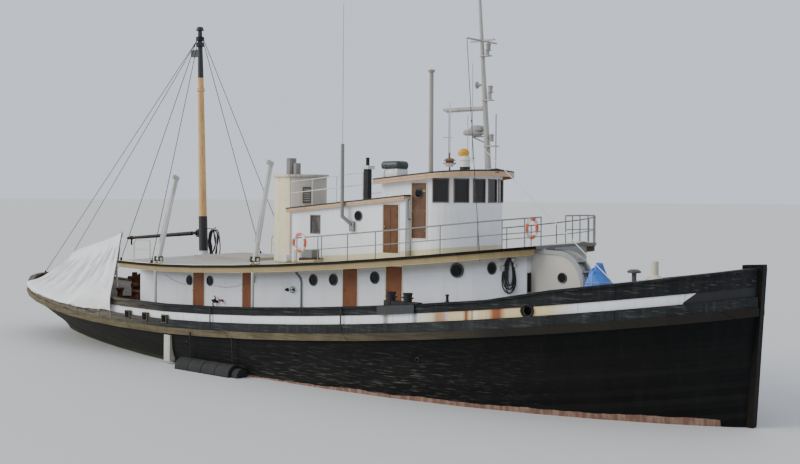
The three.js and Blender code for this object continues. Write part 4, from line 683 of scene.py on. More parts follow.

# Fore wall: a narrow framed slot beside the hood, its dark pane painted shade for the gap behind it, and rubber
# hose hung up in loops at the corner, with its couplings
slot = open_frame((11.945, -1.885, 3.72), (11.965, -1.645, 4.38), 0.025, 0)
fitted("fore_window_frame", sash_paint, [slot])
# The slot's pane is opaque dark glass: painted shade for the gap between the wall and the arched front.
slot_shade_pane = block((11.947, -1.87, 3.735), (11.956, -1.66, 4.365), 0.001)
fitted("fore_window_pane", dark_glass, [slot_shade_pane])
PEG_X, PEG_Z, OFF_CORNER = 11.42, 4.84, (0.4, -1, 0)
HOSE_TURNS, HOSE_STEPS = 6, 24
hose_loops = []
for hung in range(HOSE_TURNS):
    wide, deep, out = 0.17 - 0.022 * hung, 1.14 - 0.13 * (hung % 3), 0.05 + 0.012 * hung
    loop = []
    for angle in (2 * pi * step / HOSE_STEPS for step in range(HOSE_STEPS + 1)):
        x = PEG_X + 0.04 + 0.015 * hung + wide * sin(angle) * (1.15 - 0.35 * cos(angle))
        loop.append((x, -house_half(x) - out, PEG_Z - deep * (0.5 - 0.5 * cos(angle))))
    hose_loops.append(loop)
hose_rubber = painted("hose_rubber", (34, 34, 34), (52, 52, 50), (70, 68, 60), rough=0.8)
peg = turned((PEG_X, -2.16, PEG_Z), OFF_CORNER, [(0.02, -0.03), (0.02, 0.1), (0.035, 0.11), (0.035, 0.13)], 10)
fitted("hung_hoses", hose_rubber, [bars(hose_loops, 0.02, 8), peg])
COUPLING = [(0.05, 0), (0.055, 0.05), (0.035, 0.06), (0.035, 0.12), (0.05, 0.13), (0.05, 0.16)]
ends = [turned((x, -house_half(x) - 0.03, z), OFF_CORNER, COUPLING, 14)
        for x, z in ((11.22, 4.78), (11.6, 4.8), (11.66, 4.62))]
fitted("hose_couplings", lantern_paint, both_sides(ends))


# Boat deck: canvas-covered planks, grey where people walk, with a cream margin and a black
# edge. Hatch, locker, ventilators and gates stand on it in their own colours.
BOAT_HALF, BOAT_FROM, BOAT_RUN, ROUND_FROM, ROUND_RUN = 4.1, 5.5, 13.0, 10.3, 2.655
WALK_HALF, HATCH_HALF, RAIL_HALF, GATE_X, MARGIN = 1.9, 1.6, 3.7, -5.2, 0.34
FITTINGS_ABOVE = 2.875  # what lies higher over the sheer stands on the deck


def deck_layers(base, at, marks):
    side = abs(at["Y"])
    out = ((at["X"] - BOAT_FROM | 0) / BOAT_RUN) ** 2.0
    edge = BOAT_HALF - out * BOAT_HALF
    round_off = (at["X"] - ROUND_FROM | 0) / ROUND_RUN
    round_off = 1.0 - round_off * round_off | 0
    edge = edge * round_off ** 0.5
    walkway = (side > WALK_HALF) * ramped(at["X"], 0.6, 1.2)
    margin = side - edge > -MARGIN
    lip = mixed(at["X"] > 12.32, (12, 12, 9), (112, 114, 114))
    edge_face = (at["Up"] < 0.5) * (at["Above"] < 2.815)
    under = at["Up"] < -0.5
    over = at["Above"] > FITTINGS_ABOVE
    hatch = over * (side < HATCH_HALF)
    locker = over * within(at["X"], 2.85, 3.75) * (at["Y"] < -2.7)
    lid = locker * (at["Z"] > 4.57)
    gate = over * (side > RAIL_HALF) * (at["X"] < GATE_X)
    lugs = over * (side > RAIL_HALF) * (at["X"] > GATE_X)
    base = laid(base, (walkway, mixed(marks["Patches"], (206, 194, 152), (184, 172, 132))),
                (margin, (228, 218, 182)), (edge_face, lip), (under, (206, 206, 200)), (over, (214, 216, 218)),
                (hatch, mixed(marks["Patches"], (150, 144, 146), (178, 166, 146))), (locker, (66, 50, 44)),
                (lid, (120, 120, 118)), (gate, (206, 190, 160)), (lugs, (60, 60, 58)))
    return base, marks["Grain"]


def fascia_layers(base, at, marks):
    foot = at["Above"] < 2.5
    post = at["Above"] < 2.44
    base = laid(base, (foot, (206, 196, 156)), (post, (176, 176, 170)))
    return base, marks["Scrapes"]


painted("boat_deck_paint", (172, 170, 166), (150, 148, 146), (128, 124, 116), deck_layers, rough=0.7,
        relief=0.35, shine=0.2, on=["boat_deck"])
painted("tan_fascia_paint", (150, 129, 86), (140, 117, 73), (112, 98, 66), fascia_layers, grain=20, relief=0.4,
        on=["deck_edge_fascia"])
painted("grey_front_paint", (152, 152, 150), (138, 138, 136), (112, 108, 100),
        marked(lambda at: (at["Y"] > -1.66) * (at["Y"] < -1.6), (190, 186, 174)), rough=0.5,
        on=["arched_front"])
painted("grey_step_paint", (140, 142, 142), (118, 120, 120), (96, 92, 84), metal=0.2, rough=0.55,
        on=["front_steps"])


# Roofs: thin decks of canvas on tongue and groove, with a tan fascia all round and a black
# bead along its upper edge
UPPER_ROOF_X, UPPER_ROOF_Z, UPPER_SLOPE = 1.25, 6.4, 0.088
WHEEL_ROOF_X, WHEEL_ROOF_Z, WHEEL_SLOPE = 5.45, 7.5, 0.082
BEAD_DEEP = 0.055


def upper_rise(x):
    return (x - UPPER_ROOF_X) * UPPER_SLOPE


def wheel_rise(x):
    return (x - WHEEL_ROOF_X) * WHEEL_SLOPE


def roof_layers(base, at, marks):
    upper_top = upper_rise(at["X"]) + UPPER_ROOF_Z
    wheel_top = wheel_rise(at["X"]) + WHEEL_ROOF_Z
    top = put(base.tree, "Mix", {0: at["Z"] > 7.05, 2: upper_top, 3: wheel_top})[0]
    bead = at["Z"] - top > -BEAD_DEEP
    flat = at["Up"] > 0.6
    gear = at["Z"] > 7.93
    spool = within(at["Z"], 8.05, 8.45) * within(at["X"], 7.3, 8.0)
    dome = within(at["Z"], 8.32, 8.7) * within(at["X"], 8.05, 8.6)
    base = laid(base, (bead, (28, 28, 27)), (flat, (178, 178, 172)), (gear, (214, 214, 208)),
                (spool, (122, 82, 66)), (dome, (226, 172, 36)))
    return base, marks["Grain"]


painted("tan_roof_fascia", (200, 166, 132), (184, 146, 112), (142, 118, 96), roof_layers, grain=20,
        on=["upper_roof", "wheelhouse_roof"])


WHEEL_ROOF_HALF, BEND_FROM, BEND_RUN, BEND_POWER, BEND_STEPS = 2.23, 7.9, 1.504, 2.3, 12


def wheel_roof_half(x):
    share = min(max(x - BEND_FROM, 0) / BEND_RUN, 1)
    return WHEEL_ROOF_HALF * (1 - share**BEND_POWER) ** (1 / BEND_POWER)


def bent_round(half, xs, top):
    """The edge of a roof along the starboard side, across one end, and back along port."""
    side = [(x, -half(x), top(x)) for x in xs]
    return side + [(x, -y, z) for x, y, z in reversed(side)]


wheel_xs = [5.46, 6.6, BEND_FROM]
wheel_xs += [BEND_FROM + 1.49 * sin(pi / 2 * step / BEND_STEPS) for step in range(1, BEND_STEPS + 1)]
wheel_edge = bent_round(lambda x: wheel_roof_half(x) - 0.03, wheel_xs, lambda x: 7.385 + wheel_rise(x))
upper_edge = bent_round(lambda x: 2.32, (7.04, 4.0, 1.06), lambda x: 6.285 + upper_rise(x))
board_paint = painted("tan_fascia_board", (198, 164, 130), (182, 144, 110), (140, 116, 94), grain=20)
fitted("roof_fascia_boards", board_paint,
       [board(wheel_edge, 0.11, 0.035), board(upper_edge, 0.07, 0.035)])

# Handrails: white pipe rails on the upper roof's starboard and port edges, and a black grab bar
# beside each wheelhouse door
roof_rail = [[(1.2, -2.2, 7.39), (4.95, -2.2, 7.72), (4.95, -2.2, 6.7)],
             [(1.2, -2.2, 6.95), (4.95, -2.2, 7.28)]]
roof_rail += [[(x, -2.2, 6.36 + upper_rise(x)), (x, -2.2, 7.3944 + upper_rise(x))] for x in (1.2, 2.34, 3.62)]
pipe_white = painted("handrail_white", (204, 204, 200), (180, 180, 176), (140, 128, 108), metal=0.1, rough=0.5)
fitted("roof_handrails", pipe_white, both_sides([bars(roof_rail, 0.02, 8)]))
grab = bars([[(7.0, -1.97, 6.74), (7.0, -2.06, 6.72), (7.0, -2.06, 6.06), (7.06, -1.97, 6.03)]], 0.017, 8)
fitted("wheelhouse_grab_bars", iron, both_sides([grab]))

# Doors: varnished plank doors, sun-bleached and dark where hands have worn them
DOOR_KINDS = {  # varnish, faded and worn; then each panel's share of the leaf: from and to, along and up
    "house": ((120, 68, 34), (132, 80, 42), (86, 48, 24), [(0.04, 0.96, 0.03, 0.97)]),
    "upper": ((90, 56, 28), (106, 70, 36), (64, 40, 20), [(0.06, 0.49, 0.05, 0.95), (0.51, 0.94, 0.05, 0.95)]),
    "wheelhouse": ((92, 62, 42), (112, 84, 62), (66, 44, 28), [(0.08, 0.92, 0.05, 0.56)])}
varnishes = {}
for kind, (*tones, _) in DOOR_KINDS.items():
    varnishes[kind] = painted("varnished_" + kind + "_door", *tones, fade=0.8, streak=0.5, rough=0.5,
                              relief=0.4, rain=14, grain=30, patch=2.0, shine=0.3)
casing_paint = painted("door_casing", (214, 208, 190), (196, 188, 166), (150, 138, 112), rough=0.5)
brass = painted("worn_brass", (164, 136, 84), (128, 110, 74), (84, 76, 56), metal=0.8, rough=0.4)
LIGHT_RIM = [(0.19, -0.004), (0.19, 0.016), (0.17, 0.03), (0.15, 0.02), (0.148, 0.006)]
LIGHT = [(0.15, 0.0), (0.149, 0.012), (0.08, 0.02), (0.03, 0.022)]
DOOR_KNOB = [(0.032, 0), (0.032, 0.012), (0.012, 0.02), (0.012, 0.05), (0.03, 0.06), (0.03, 0.08),
             (0.012, 0.09)]
casings = []
for name in (name for name in nodes if "_door_" in name):
    kind = name.split("_")[0]
    coat(varnishes[kind], name)
    low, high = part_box(name)
    side, face_y = (-1, low.y) if low.y < 0 else (1, high.y)
    wide, tall = high.x - low.x, high.z - low.z
    near, far = sorted((face_y - side * 0.004, face_y + side * 0.012))
    leaf = [block((low.x + wide * x0, near, low.z + tall * z0), (low.x + wide * x1, far, low.z + tall * z1),
                  0.008) for x0, x1, z0, z1 in DOOR_KINDS[kind][-1]]
    fitted(name + "_panels", varnishes[kind], leaf, name)
    if kind == "wheelhouse":
        middle = ((low.x + high.x) / 2, face_y, high.z - 0.36)
        rim = turned(middle, (0, side, 0), LIGHT_RIM, 26)
        fitted(name + "_light_rim", rim_paint, [rim], name)
        fitted(name + "_light", dark_glass, [turned(middle, (0, side, 0), LIGHT, 24)], name)
    ironwork = [turned((low.x + 0.06, face_y, low.z + 0.93), (0, side, 0), DOOR_KNOB, 12)]
    near, far = sorted((face_y - side * 0.002, face_y + side * 0.008))
    for z in (low.z + tall * share for share in (0.14, 0.5, 0.86)):
        ironwork.append(block((high.x - 0.16, near, z - 0.03), (high.x - 0.03, far, z + 0.03), 0.004))
    fitted(name + "_ironwork", brass, ironwork, name)
    if side < 0:
        casings.append(open_frame((low.x - 0.05, face_y - 0.016, low.z - 0.05),
                                  (high.x + 0.056, face_y + 0.004, high.z + 0.05), 0.042, 1))
fitted("door_casings", casing_paint, both_sides(casings))


# Funnel: rolled steel plate, cream aft of its seam and grey forward of it
def funnel_layers(base, at, marks):
    seam = within(at["X"], -0.26, -0.24, 0.004)
    soot = ramped(at["Z"], 7.35, 7.9) * ramped(marks["Streaks"], 0.4, 0.6) * 0.6
    base = laid(base, (at["X"] > -0.25, (172, 164, 154)), (seam, (96, 92, 84)), (soot, (120, 108, 92)))
    return base, marks["Grain"]


painted("funnel_paint", (232, 220, 184), (214, 200, 160), (180, 160, 124), funnel_layers, rough=0.45,
        on=["funnel"])
painted("galvanised_pipe", (138, 138, 134), (114, 112, 106), (110, 84, 62), metal=0.5, rough=0.5,
        on=["funnel_pipes", "galley_pipe"])
louvre = [open_frame((-0.01, -0.17, -0.33), (0.03, 0.17, 0.33), 0.03, 0)]
louvre += [block((-0.005, -0.15, z), (0.022, 0.15, z + 0.045), 0.004)
           for z in (-0.29, -0.2, -0.11, -0.02, 0.07, 0.16, 0.25)]
at_louvre = Matrix.Translation((0.407, -0.578, 6.88)) @ Matrix.Rotation(radians(-49.4), 4, "Z")
louvre_paint = painted("louvre_paint", (92, 90, 82), (74, 72, 66), (60, 50, 40), metal=0.3)
louvre = [placed(part, [at_louvre])[0] for part in louvre]
fitted("funnel_louvre", louvre_paint, louvre)

# Stove chimney: black sheet iron through the upper roof, with a pale plate about its head
painted("black_stove_metal", (22, 23, 24), (38, 37, 36), (66, 52, 40),
        marked(lambda at: within(at["Z"], 7.86, 8.0), (206, 206, 202)), metal=0.3, on=["stove_chimney"])

# Life raft: a rounded dark canister strapped down in white chocks, in the place of the plain
# locker of the solids
locker_paint = painted("raft_locker_paint", (38, 46, 44), (52, 62, 60), (70, 74, 70),
                       marked(lambda at: at["Z"] < 7.85, (208, 210, 208)), rough=0.4, on=["roof_locker"])
low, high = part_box("roof_locker")
canister = block((low.x, low.y, 7.83), (high.x, high.y, high.z), 0.13, 5)
chocks = [block((x - 0.06, low.y + 0.02, low.z), (x + 0.06, high.y - 0.02, 7.86), 0.01)
          for x in (low.x + 0.14, high.x - 0.14)]
chocks.append(block((low.x + 0.06, low.y + 0.05, low.z + 0.02), (high.x - 0.06, high.y - 0.05, 7.84), 0.02))
for strap_x in (low.x + 0.25, high.x - 0.25):
    chocks.append(block((strap_x - 0.02, low.y, 7.8), (strap_x + 0.02, low.y + 0.006, 8.0), 0.001))
canister = fitted("raft_canister", locker_paint, [canister] + chocks, smooth=50)
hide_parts("roof_locker")


# Masts: a grey-white steel foremast, and a varnished derrick mast, black at its foot and head
def derrick_layers(base, at, marks):
    cracks = ramped(marks["Streaks"], 0.58, 0.66)
    black = (at["Z"] < 5.9) | (at["Z"] > 12.17)
    foot = at["Z"] < 4.34
    base = laid(base, (cracks * 0.55, (116, 78, 44)), (black, (34, 33, 32)), (foot, (206, 206, 200)))
    return base, marks["Streaks"]


painted("varnished_spar", (206, 164, 104), (188, 142, 84), (150, 106, 60), derrick_layers, rough=0.5, rain=22,
        on=["derrick_mast"])
mast_paint = painted("foremast_paint", (166, 164, 157), (140, 138, 131), (98, 86, 72), metal=0.1, rough=0.5,
                     on=["foremast"])
davit_paint = painted("davit_paint", (190, 190, 184), (160, 158, 150), (122, 108, 90), rough=0.55, grain=30,
                      on=["davit_aft", "davit_fore"])
CHEEK = [(0.09, -0.05), (0.09, -0.035), (0.07, -0.03), (0.07, 0.03), (0.09, 0.035), (0.09, 0.05)]
for name, foot, head in (("davit_aft", (-4.95, -3.85, 4.45), (-4.75, -3.1, 7.6)),
                         ("davit_fore", (0.95, -3.85, 4.66), (1.1, -3.2, 8.13))):
    foot, head = Vector(foot), Vector(head)
    step = (head - foot) / 8
    twin = [[foot + step * 0.9 + Vector((-0.105, 0, 0)), head + Vector((-0.075, 0, -0.1))],
            [foot + step * 0.9 + Vector((0.105, 0, 0)), head + Vector((0.075, 0, -0.1))]]
    falls = [[head + Vector((0, -0.1, -0.02)), foot + step * 1.2 + Vector((0, -0.12, 0))]]
    cheek = turned(head + Vector((0, -0.12, 0)), (1, 0, 0), CHEEK, 18)
    fitted(name + "_tubes", davit_paint, [bars(twin, 0.03, 8), bars(falls, 0.01), cheek], name)
coat(iron, "boom_gooseneck", "cargo_boom", "mast_stays", "bitts_starboard", "bitts_port")
painted("galvanised_rail", (134, 137, 137), (114, 116, 116), (96, 82, 68), metal=0.3, rough=0.5,
        on=["deck_rail_starboard", "deck_rail_port"])
painted("white_wire", (206, 206, 202), (180, 180, 176), (140, 130, 116), rough=0.5,
        on=["forestay", "awning_frame"])

# Wheelhouse roof and foremast gear: a yellow dome, aerials, a scanner, lamps, a horn and a halyard
dome_paint = painted("yellow_dome_paint", (222, 166, 30), (206, 150, 40), (150, 116, 50), rough=0.4)
fitted("yellow_dome", dome_paint,
       [turned((8.28, -0.5, 8.34), UPRIGHT,
               [(0.19, -0.02), (0.2, 0.07), (0.21, 0.1), (0.2, 0.15), (0.15, 0.21), (0.04, 0.25)], 28)])
aerials = [bars([[(7.6, -0.5, 8.0), (7.6, -0.5, 10.0)], [(7.3, -0.5, 9.01), (7.75, -0.5, 9.01)],
                 [(7.92, 0.5, 8.1), (7.92, 0.5, 11.75)], [(8.4, -0.42, 8.0), (8.4, -0.42, 9.79)]], 0.014),
           bars([[(4.13, -2.43, 8.4), (4.13, -2.43, 14.0)]], 0.012),
           bars([[(8.77, 0.8, 7.75), (8.77, 0.8, 9.89)]], 0.024)]
fitted("roof_aerials", mast_paint, aerials)
pole_paint = painted("signal_pole_paint", (150, 144, 132), (128, 122, 110), (96, 84, 66), rough=0.6)
pole = turned((7.18, -1.0, 7.76), UPRIGHT,
              [(0.1, 0), (0.085, 0.06), (0.075, 3.5), (0.07, 3.56), (0.12, 3.62), (0.13, 3.68)], 18)
fitted("signal_pole_casing", pole_paint, [pole])
SCANNER = [(0.3, 0), (0.37, 0.04), (0.38, 0.12), (0.33, 0.19), (0.2, 0.22)]
LAMP = [(0.1, 0), (0.1, 0.03), (0.075, 0.04), (0.085, 0.2), (0.1, 0.21), (0.1, 0.24), (0.04, 0.27)]
HORN = [(0.03, 0), (0.04, 0.2), (0.07, 0.3), (0.13, 0.36), (0.12, 0.34)]
bracket = bars([[(8.34, 0, 9.04), (9.1, 0, 9.02)], [(8.3, 0, 9.03), (9.1, 0, 8.7)],
                [(8.5, 0.16, 9.04), (9.1, 0.02, 9.02)]], 0.03)
scanner = [turned((8.34, 0, 9.08), UPRIGHT, SCANNER, 30), bracket]
lamps = [turned((x, 0, z), UPRIGHT, LAMP, 16) for x, z in ((9.14, 8.84), (9.08, 10.58), (8.98, 12.1))]
horn = turned((8.85, 0, 10.89), (-1, 0, 0), HORN, 18)
fitted("radar_scanner", mast_paint, scanner)
lamp_grey = painted("lamp_house", (150, 150, 144), (122, 122, 116), (84, 74, 60), metal=0.2)
fitted("mast_lamps", lamp_grey, lamps + [horn])
halyard_run = [Vector((8.69, -0.9, 12.46)).lerp(Vector((10.86, -3.0, 4.75)), step / 24) for step in range(25)]
halyard_run = [p - Vector((0, 0, 0.12 * sin(pi * step / 24))) for step, p in enumerate(halyard_run)]
halyard_line = painted("halyard_line", (52, 50, 46), (74, 70, 64), (40, 36, 32), rough=0.9, grain=120)
flags = [turned(halyard_run[step], (0.28, -0.27, -1),
                [(0.012, -0.03), (0.026, -0.02), (0.026, 0.02), (0.012, 0.03)], 10) for step in (9, 13, 17, 20)]
fitted("signal_halyard", halyard_line, [bars([halyard_run], 0.012)] + flags)

# Rope hung up on the derrick mast, in long loops from a peg at breast height
COIL_TURNS, COIL_STEPS, COIL_PEG_Z = 7, 28, 5.3
coils = []
for lap in range(COIL_TURNS):
    wide, tall = 0.15 + 0.03 * lap, 0.5 + 0.03 * lap
    middle = Vector((-6.1 + 0.03 * lap, -0.02 - 0.05 * (lap % 3), COIL_PEG_Z - tall))
    loop = []
    for a in (2 * pi * step / COIL_STEPS for step in range(COIL_STEPS + 1)):
        out = wide * sin(a) * (1.0 + 0.2 * cos(a))
        loop.append(middle + Vector((out, 0.04 * cos(3 * a + lap), tall * cos(a))))
    coils.append(loop)
peg = bars([[(-6.75, 0, 5.33), (-5.98, 0, 5.35), (-5.95, 0, 5.42)]], 0.022)
coil_rope = painted("tarred_rope", (44, 40, 36), (66, 60, 52), (30, 28, 26), rough=0.9, grain=130)
fitted("mast_rope_coils", coil_rope, [bars(coils, 0.026, 8), peg])

# Gear on deck: rusted winch with bollards and a coil of wire, white trunk with its vents, rubber
# fender and its plank, and two life rings with grab lines
rust = painted("rusty_winch_iron", (98, 60, 38), (68, 46, 34), (132, 84, 50), fade=0.9, streak=0.7, metal=0.3,
               rough=0.8, relief=0.8, patch=3.0, on=["towing_winch"])
painted("trunk_paint", (206, 206, 202), (182, 182, 178), (140, 132, 116), on=["foredeck_trunk"])
painted("dark_vent_paint", (74, 78, 78), (96, 98, 96), (66, 60, 52), metal=0.2, on=["mushroom_vent"])
painted("cowl_paint", (214, 208, 188), (194, 186, 166), (160, 144, 116), on=["cone_vent"])
painted("fender_rubber", (28, 28, 29), (44, 44, 42), (60, 62, 50), rough=0.85, relief=0.6, on=["rubber_fender"])
painted("fender_plank_paint", (190, 188, 178), (156, 150, 136), (110, 104, 88), relief=0.7, on=["fender_plank"])


def ring_finish(name, across):
    """Orange paint with four white bands, set out by their angle about the ring's middle."""
    low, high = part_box(name)
    middle = (low + high) / 2

    def bands(at):
        angle = (at["Z"] - middle.z).math("ARCTAN2", at["XY"[across]] - middle[across])
        return angle.math("PINGPONG", pi / 4) > 0.46

    painted(name + "_paint", (204, 92, 58), (218, 122, 92), (170, 80, 54), marked(bands, (222, 218, 208)),
            rough=0.55, on=[name])
    return ring(middle, (0, 1, 0) if across == 0 else (1, 0, 0), (high.z - low.z) / 2 + 0.012, 0.009, 32, 6)


TOW_DECK, WIRE_TURNS = 1.86, 6
BOLLARD = [(0.2, 0), (0.2, 0.03), (0.13, 0.06), (0.12, 0.5), (0.19, 0.58), (0.17, 0.66)]
wire = [ring((-9.75, -2.0, TOW_DECK + 0.07 + 0.05 * lap), UPRIGHT, 0.46 - 0.02 * (lap % 2), 0.026, 30, 6)
        for lap in range(WIRE_TURNS)]
bollards = [turned((x, y, TOW_DECK + 0.02), UPRIGHT, BOLLARD, 18) for x, y in ((-8.9, -2.1), (-10.6, -1.75))]
gear_base = [block((x, y, TOW_DECK), (x + 0.7, y + 0.5, TOW_DECK + 0.07), 0.01)
             for x, y in ((-9.25, -2.35), (-10.95, -2.0))]
fitted("towing_gear", rust, wire + bollards + gear_base)
grab_lines = [ring_finish("life_ring_aft", 0), ring_finish("life_ring_fore", 1)]
grab_rope = painted("grab_line_rope", (206, 198, 178), (184, 176, 156), (130, 120, 102), rough=0.9, grain=150)
fitted("life_ring_lines", grab_rope, grab_lines)

# Stern canvas: one sheet of white duck, hauled up to a peak over the winch and lashed down
# outside the rail. Its fore edge is tight, and soft folds spread from the peak.
CANVAS_RIBS = [  # hem x and z, ridge x and z, port edge x, y, z
    (-7.68, 1.9, -12.99, 4.97, -13.06, 0.12, 4.92), (-9.7, 1.86, -13.25, 4.88, -13.5, 0.33, 4.62),
    (-11.2, 1.9, -13.7, 4.75, -14.0, 0.64, 4.33), (-12.9, 1.98, -14.4, 4.56, -14.8, 1.15, 3.75),
    (-14.7, 2.1, -15.4, 4.3, -15.9, 1.85, 3.02), (-15.8, 2.18, -15.98, 4.15, -16.5, 2.19, 2.78),
    (-16.9, 2.26, -16.54, 4.0, -17.0, 2.48, 2.56)]
ROWS, COLUMNS = 96, 56


def eased_through(points, count):
    """A smooth run of places through the given ones."""
    spans = len(points) - 1
    held = [points[0], *points, points[-1]]
    run = []
    for step in range(count):
        place = step / (count - 1) * spans
        span = min(int(place), spans - 1)
        s = place - span
        a, b, c, d = held[span:span + 4]
        first, second, third = c - a, 2 * a - 5 * b + 4 * c - d, 3 * b - a - 3 * c + d
        run.append(0.5 * (2 * b + first * s + second * s**2 + third * s**3))
    return run


def canvas_rib(rib):
    hem_x, hem_z, ridge_x, ridge_z, port_x, port_y, port_z = rib
    edge = -deck_half(hem_x) - 0.15
    rail = max(sheer(x) + (0.54 if x < -9.15 else RAIL_HIGH) for x in (hem_x, hem_x + 1)) + 0.06
    places = [Vector((hem_x, edge, hem_z)), Vector((hem_x, edge, rail))]
    for share in (0.25, 0.5, 0.75):
        sag = (0.03 if hem_x > -9 else 0.33) * sin(pi * share) * (1 - 0.4 * share)
        places.append(Vector((hem_x + (ridge_x - hem_x) * share, edge * (1 - share),
                              rail + (ridge_z - rail) * share - sag)))
    return eased_through(places + [Vector((ridge_x, 0, ridge_z)), Vector((port_x, port_y, port_z))], COLUMNS)


def cloth_grid(name, rows, closed=False):
    """A sheet of cloth through a grid of places, its meeting points joined if it is closed."""
    deselect()
    bpy.ops.mesh.primitive_grid_add(x_subdivisions=len(rows[0]) - 1, y_subdivisions=len(rows) - 1, size=1)
    cloth = bpy.context.object
    cloth.name = cloth.data.name = name
    for vertex, place in zip(cloth.data.vertices, (place for row in rows for place in row)):
        vertex.co = place
    if closed:
        bpy.ops.object.mode_set(mode="EDIT")
        bpy.ops.mesh.select_all(action="SELECT")
        bpy.ops.mesh.remove_doubles(threshold=0.0005)
        bpy.ops.object.mode_set(mode="OBJECT")
    bpy.ops.object.shade_smooth()
    return cloth


def let_hang(cloth, pinned, frames, weight=0.35, stiff=12.0, bend=0.4):
    """The cloth sinks under its own weight from the points that hold it, and keeps the shape."""
    held = cloth.vertex_groups.new(name="held")
    held.add([v.index for v in cloth.data.vertices if pinned(v)], 1.0, "REPLACE")
    drape = cloth.modifiers.new("drape", "CLOTH")
    drape.settings.vertex_group_mass = "held"
    drape.settings.quality = 6
    drape.settings.mass = weight * sum(f.area for f in cloth.data.polygons) / len(cloth.data.vertices)
    drape.settings.tension_stiffness = drape.settings.compression_stiffness = stiff
    drape.settings.shear_stiffness = stiff / 2
    drape.settings.bending_stiffness = bend
    drape.settings.air_damping = 4
    drape.collision_settings.use_collision = True
    drape.collision_settings.distance_min = 0.01
    drape.point_cache.frame_start, drape.point_cache.frame_end = 1, frames
    for step in range(1, frames + 1):
        scene.frame_set(step)
    deselect()
    bpy.context.view_layer.objects.active = cloth
    cloth.select_set(True)
    bpy.ops.object.modifier_apply(modifier="drape")
    scene.frame_set(1)
    cloth.vertex_groups.clear()


ribs = [canvas_rib(rib) for rib in CANVAS_RIBS]
canvas_rows = list(zip(*[eased_through([rib[column] for rib in ribs], ROWS) for column in range(COLUMNS)]))
for row, places in enumerate(canvas_rows):
    along = row / (ROWS - 1)
    for column, place in enumerate(places):
        over = column / (COLUMNS - 1)
        loose = max(sin(pi * min(max((over - 0.2) / 0.62, 0), 1)), 0) * min(along * 9, 1)
        fold = sin(2 * pi * (8.5 * along**0.8 + 0.25 * sin(5 * over)))
        small = sin(2 * pi * (21 * along + 0.8 * over))
        place.z += loose * (0.12 * fold + 0.035 * small)
        hem = max(1 - over / 0.12, 0)
        place.z += hem * 0.015 * abs(sin(pi * 12 * along))
        place.y += hem * 0.03 * sin(2 * pi * 12 * along)
canvas_sheet = cloth_grid("stern_canvas_sheet", canvas_rows)
RAIL_COLUMN, RIDGE_COLUMN = 9, 46
LASHED_ROWS = range(0, ROWS, 8)


def canvas_held(vertex):
    row, column = divmod(vertex.index, COLUMNS)
    if column in (RAIL_COLUMN, RIDGE_COLUMN) or row == 0:
        return True
    return column in (0, COLUMNS - 1) and row in LASHED_ROWS


let_hang(canvas_sheet, canvas_held, 20)
duck = painted("white_duck", (238, 237, 235), (226, 225, 223), (196, 193, 186), fade=0.5, streak=0.35,
               rough=0.9, relief=0.5, patch=0.5, rain=2.2, grain=180)
canvas_sheet = fitted("stern_canvas_sheet", duck, [canvas_sheet], smooth=180)
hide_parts("stern_canvas")
points = [vertex.co.copy() for vertex in canvas_sheet.data.vertices]
edges = [points[::COLUMNS], points[:COLUMNS], points[COLUMNS - 1::COLUMNS]]
lashings = []
for eye in (points[row * COLUMNS] for row in LASHED_ROWS):
    lashings.append([eye, Vector((eye.x - 0.06, min(eye.y + 0.1, -deck_half(eye.x) - 0.1),
                                  sheer(eye.x) + 0.3))])
tail = points[RIDGE_COLUMN]
lashings += [[tail, tail + Vector((-0.05, -0.05, 0.12)), tail + Vector((0.12, -0.12, 0.02))]]
rope = painted("white_rope", (190, 184, 168), (168, 160, 142), (120, 112, 96), rough=0.9, grain=150)
fitted("canvas_bolt_rope", rope, [bars(edges, 0.011), bars(lashings, 0.007)])

# Tarpaulin: a square of blue woven plastic thrown over the gear on the foredeck and tied down,
# creased where it was folded and gathered in by two turns of line
TARP_TOP, TARP_FOOT = Vector((14.48, -1.62, 4.78)), Vector((14.76, -1.72, 3.15))
TARP_ROWS, TARP_ROUND = 34, 84
tarp_rows = []
for row in range(TARP_ROWS):
    down = row / (TARP_ROWS - 1)
    reach = min(0.2 + 0.8 * down**0.8, 0.55 + 0.4 * down)
    centre = TARP_TOP.lerp(TARP_FOOT, down)
    gathered = 1 - 0.1 * exp(-((down - 0.62) / 0.06) ** 2) - 0.06 * exp(-((down - 0.36) / 0.05) ** 2)
    ring_places = []
    for step in range(TARP_ROUND):
        angle = 2 * pi * step / (TARP_ROUND - 1)
        square = (abs(cos(angle)) ** 3 + abs(sin(angle)) ** 3) ** (-1 / 3)
        crease = 0.075 * down * sin(9 * angle + 1.4 * sin(2 * angle) + 1.2 * down)
        crease += 0.03 * sin(17 * angle + 5 * down) * down
        size = reach * square * gathered * (1 + crease)
        ring_places.append(centre + Vector((0.5 * size * cos(angle), 0.54 * size * sin(angle),
                                            0.03 * sin(3 * angle + 1) * (1 - down))))
    tarp_rows.append(ring_places)
crown = [TARP_TOP + 0.35 * (place - TARP_TOP) + Vector((0, 0, 0.03)) for place in tarp_rows[0]]
tarp_rows = [[TARP_TOP + Vector((0, 0, 0.035))] * TARP_ROUND, crown] + tarp_rows
tarp_sheet = cloth_grid("foredeck_tarp_sheet", tarp_rows, closed=True)
deselect()
gear = nodes["foredeck_tarp"].copy()
gear.data = gear.data.copy()
scene.collection.objects.link(gear)
middle = sum((Vector(corner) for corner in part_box("foredeck_tarp")), Vector()) / 2
gear.data.transform(Matrix.Translation(middle) @ Matrix.Scale(0.86, 4) @ Matrix.Translation(-middle))
gear.modifiers.new("solid", "COLLISION")
let_hang(tarp_sheet, lambda v: v.co.z < TARP_FOOT.z + 0.02 or v.co.z > TARP_TOP.z, 18, weight=0.25,
         stiff=8.0, bend=0.2)
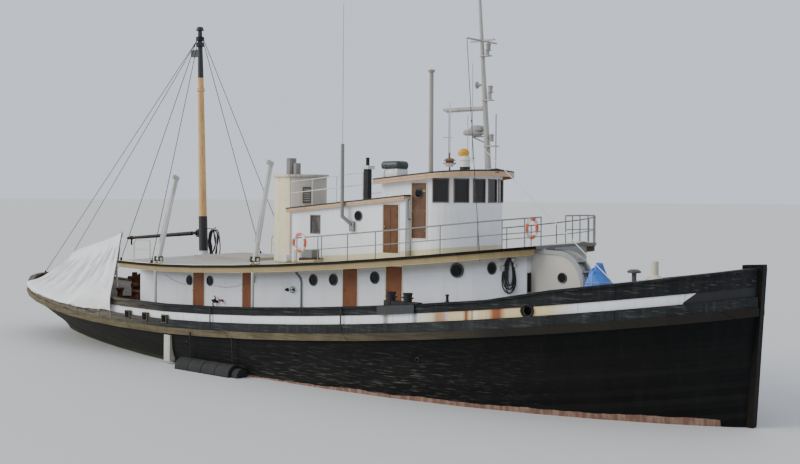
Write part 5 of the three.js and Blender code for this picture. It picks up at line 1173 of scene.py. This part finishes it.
bpy.data.objects.remove(gear)
woven = painted("blue_tarpaulin_weave", (44, 108, 196), (70, 130, 208), (30, 76, 150), fade=0.6, streak=0.3,
                rough=0.42, relief=0.4, patch=2.5, rain=6.0, grain=220)
tarp_sheet = fitted("foredeck_tarp_sheet", woven, [tarp_sheet], smooth=180)
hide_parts("foredeck_tarp")
turns = []
for high in (4.2, 3.77):
    near = sorted((v.co.copy() for v in tarp_sheet.data.vertices if abs(v.co.z - high) < 0.05),
                  key=lambda p: atan2(p.y + 1.7, p.x - 14.55))
    hub = sum(near, Vector()) / len(near)
    by_sector = []
    for sector in range(24):
        angle = -pi + 2 * pi * (sector + 0.5) / 24
        own = [p for p in near if abs(remainder(atan2(p.y - hub.y, p.x - hub.x) - angle, 2 * pi)) < 0.16]
        if own:
            far = max(own, key=lambda p: (p - hub).xy.length)
            by_sector.append(Vector((*(hub.xy + (far - hub).xy * 1.02), high)))
    turns.append(by_sector + by_sector[:1])
fitted("tarp_lashing", rope, [bars(turns, 0.008)])

# Stage: a pale floor at the waterline under soft studio light from the starboard quarter
deselect()
bpy.ops.mesh.primitive_plane_add(size=3000, location=(0, 0, 0))
floor = bpy.context.object
floor.name = "studio_floor"
floor_finish, _, shader = new_material("studio_floor")
feed(shader, {"Base Color": tint(206, 206, 204), "Roughness": 0.7})
floor.data.materials.append(floor_finish)
floor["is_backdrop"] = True
world = bpy.data.worlds.new("studio_light")
scene.world = world
world.use_nodes = True
feed(world.node_tree.nodes["Background"], {"Color": (0.83, 0.89, 1.0, 1), "Strength": 0.95})
sun_data = bpy.data.lights.new("soft_key", "SUN")
sun_data.energy = 2.25
sun_data.angle = radians(35)
sun_data.color = (1.0, 0.97, 0.92)
sun = bpy.data.objects.new("soft_key", sun_data)
scene.collection.objects.link(sun)
sun.rotation_euler = Vector((0.62, 0.68, -0.46)).to_track_quat("-Z", "Y").to_euler()

size = {"cad": [list(corner) for corner in cad_box], "visual": [list(corner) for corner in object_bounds()]}
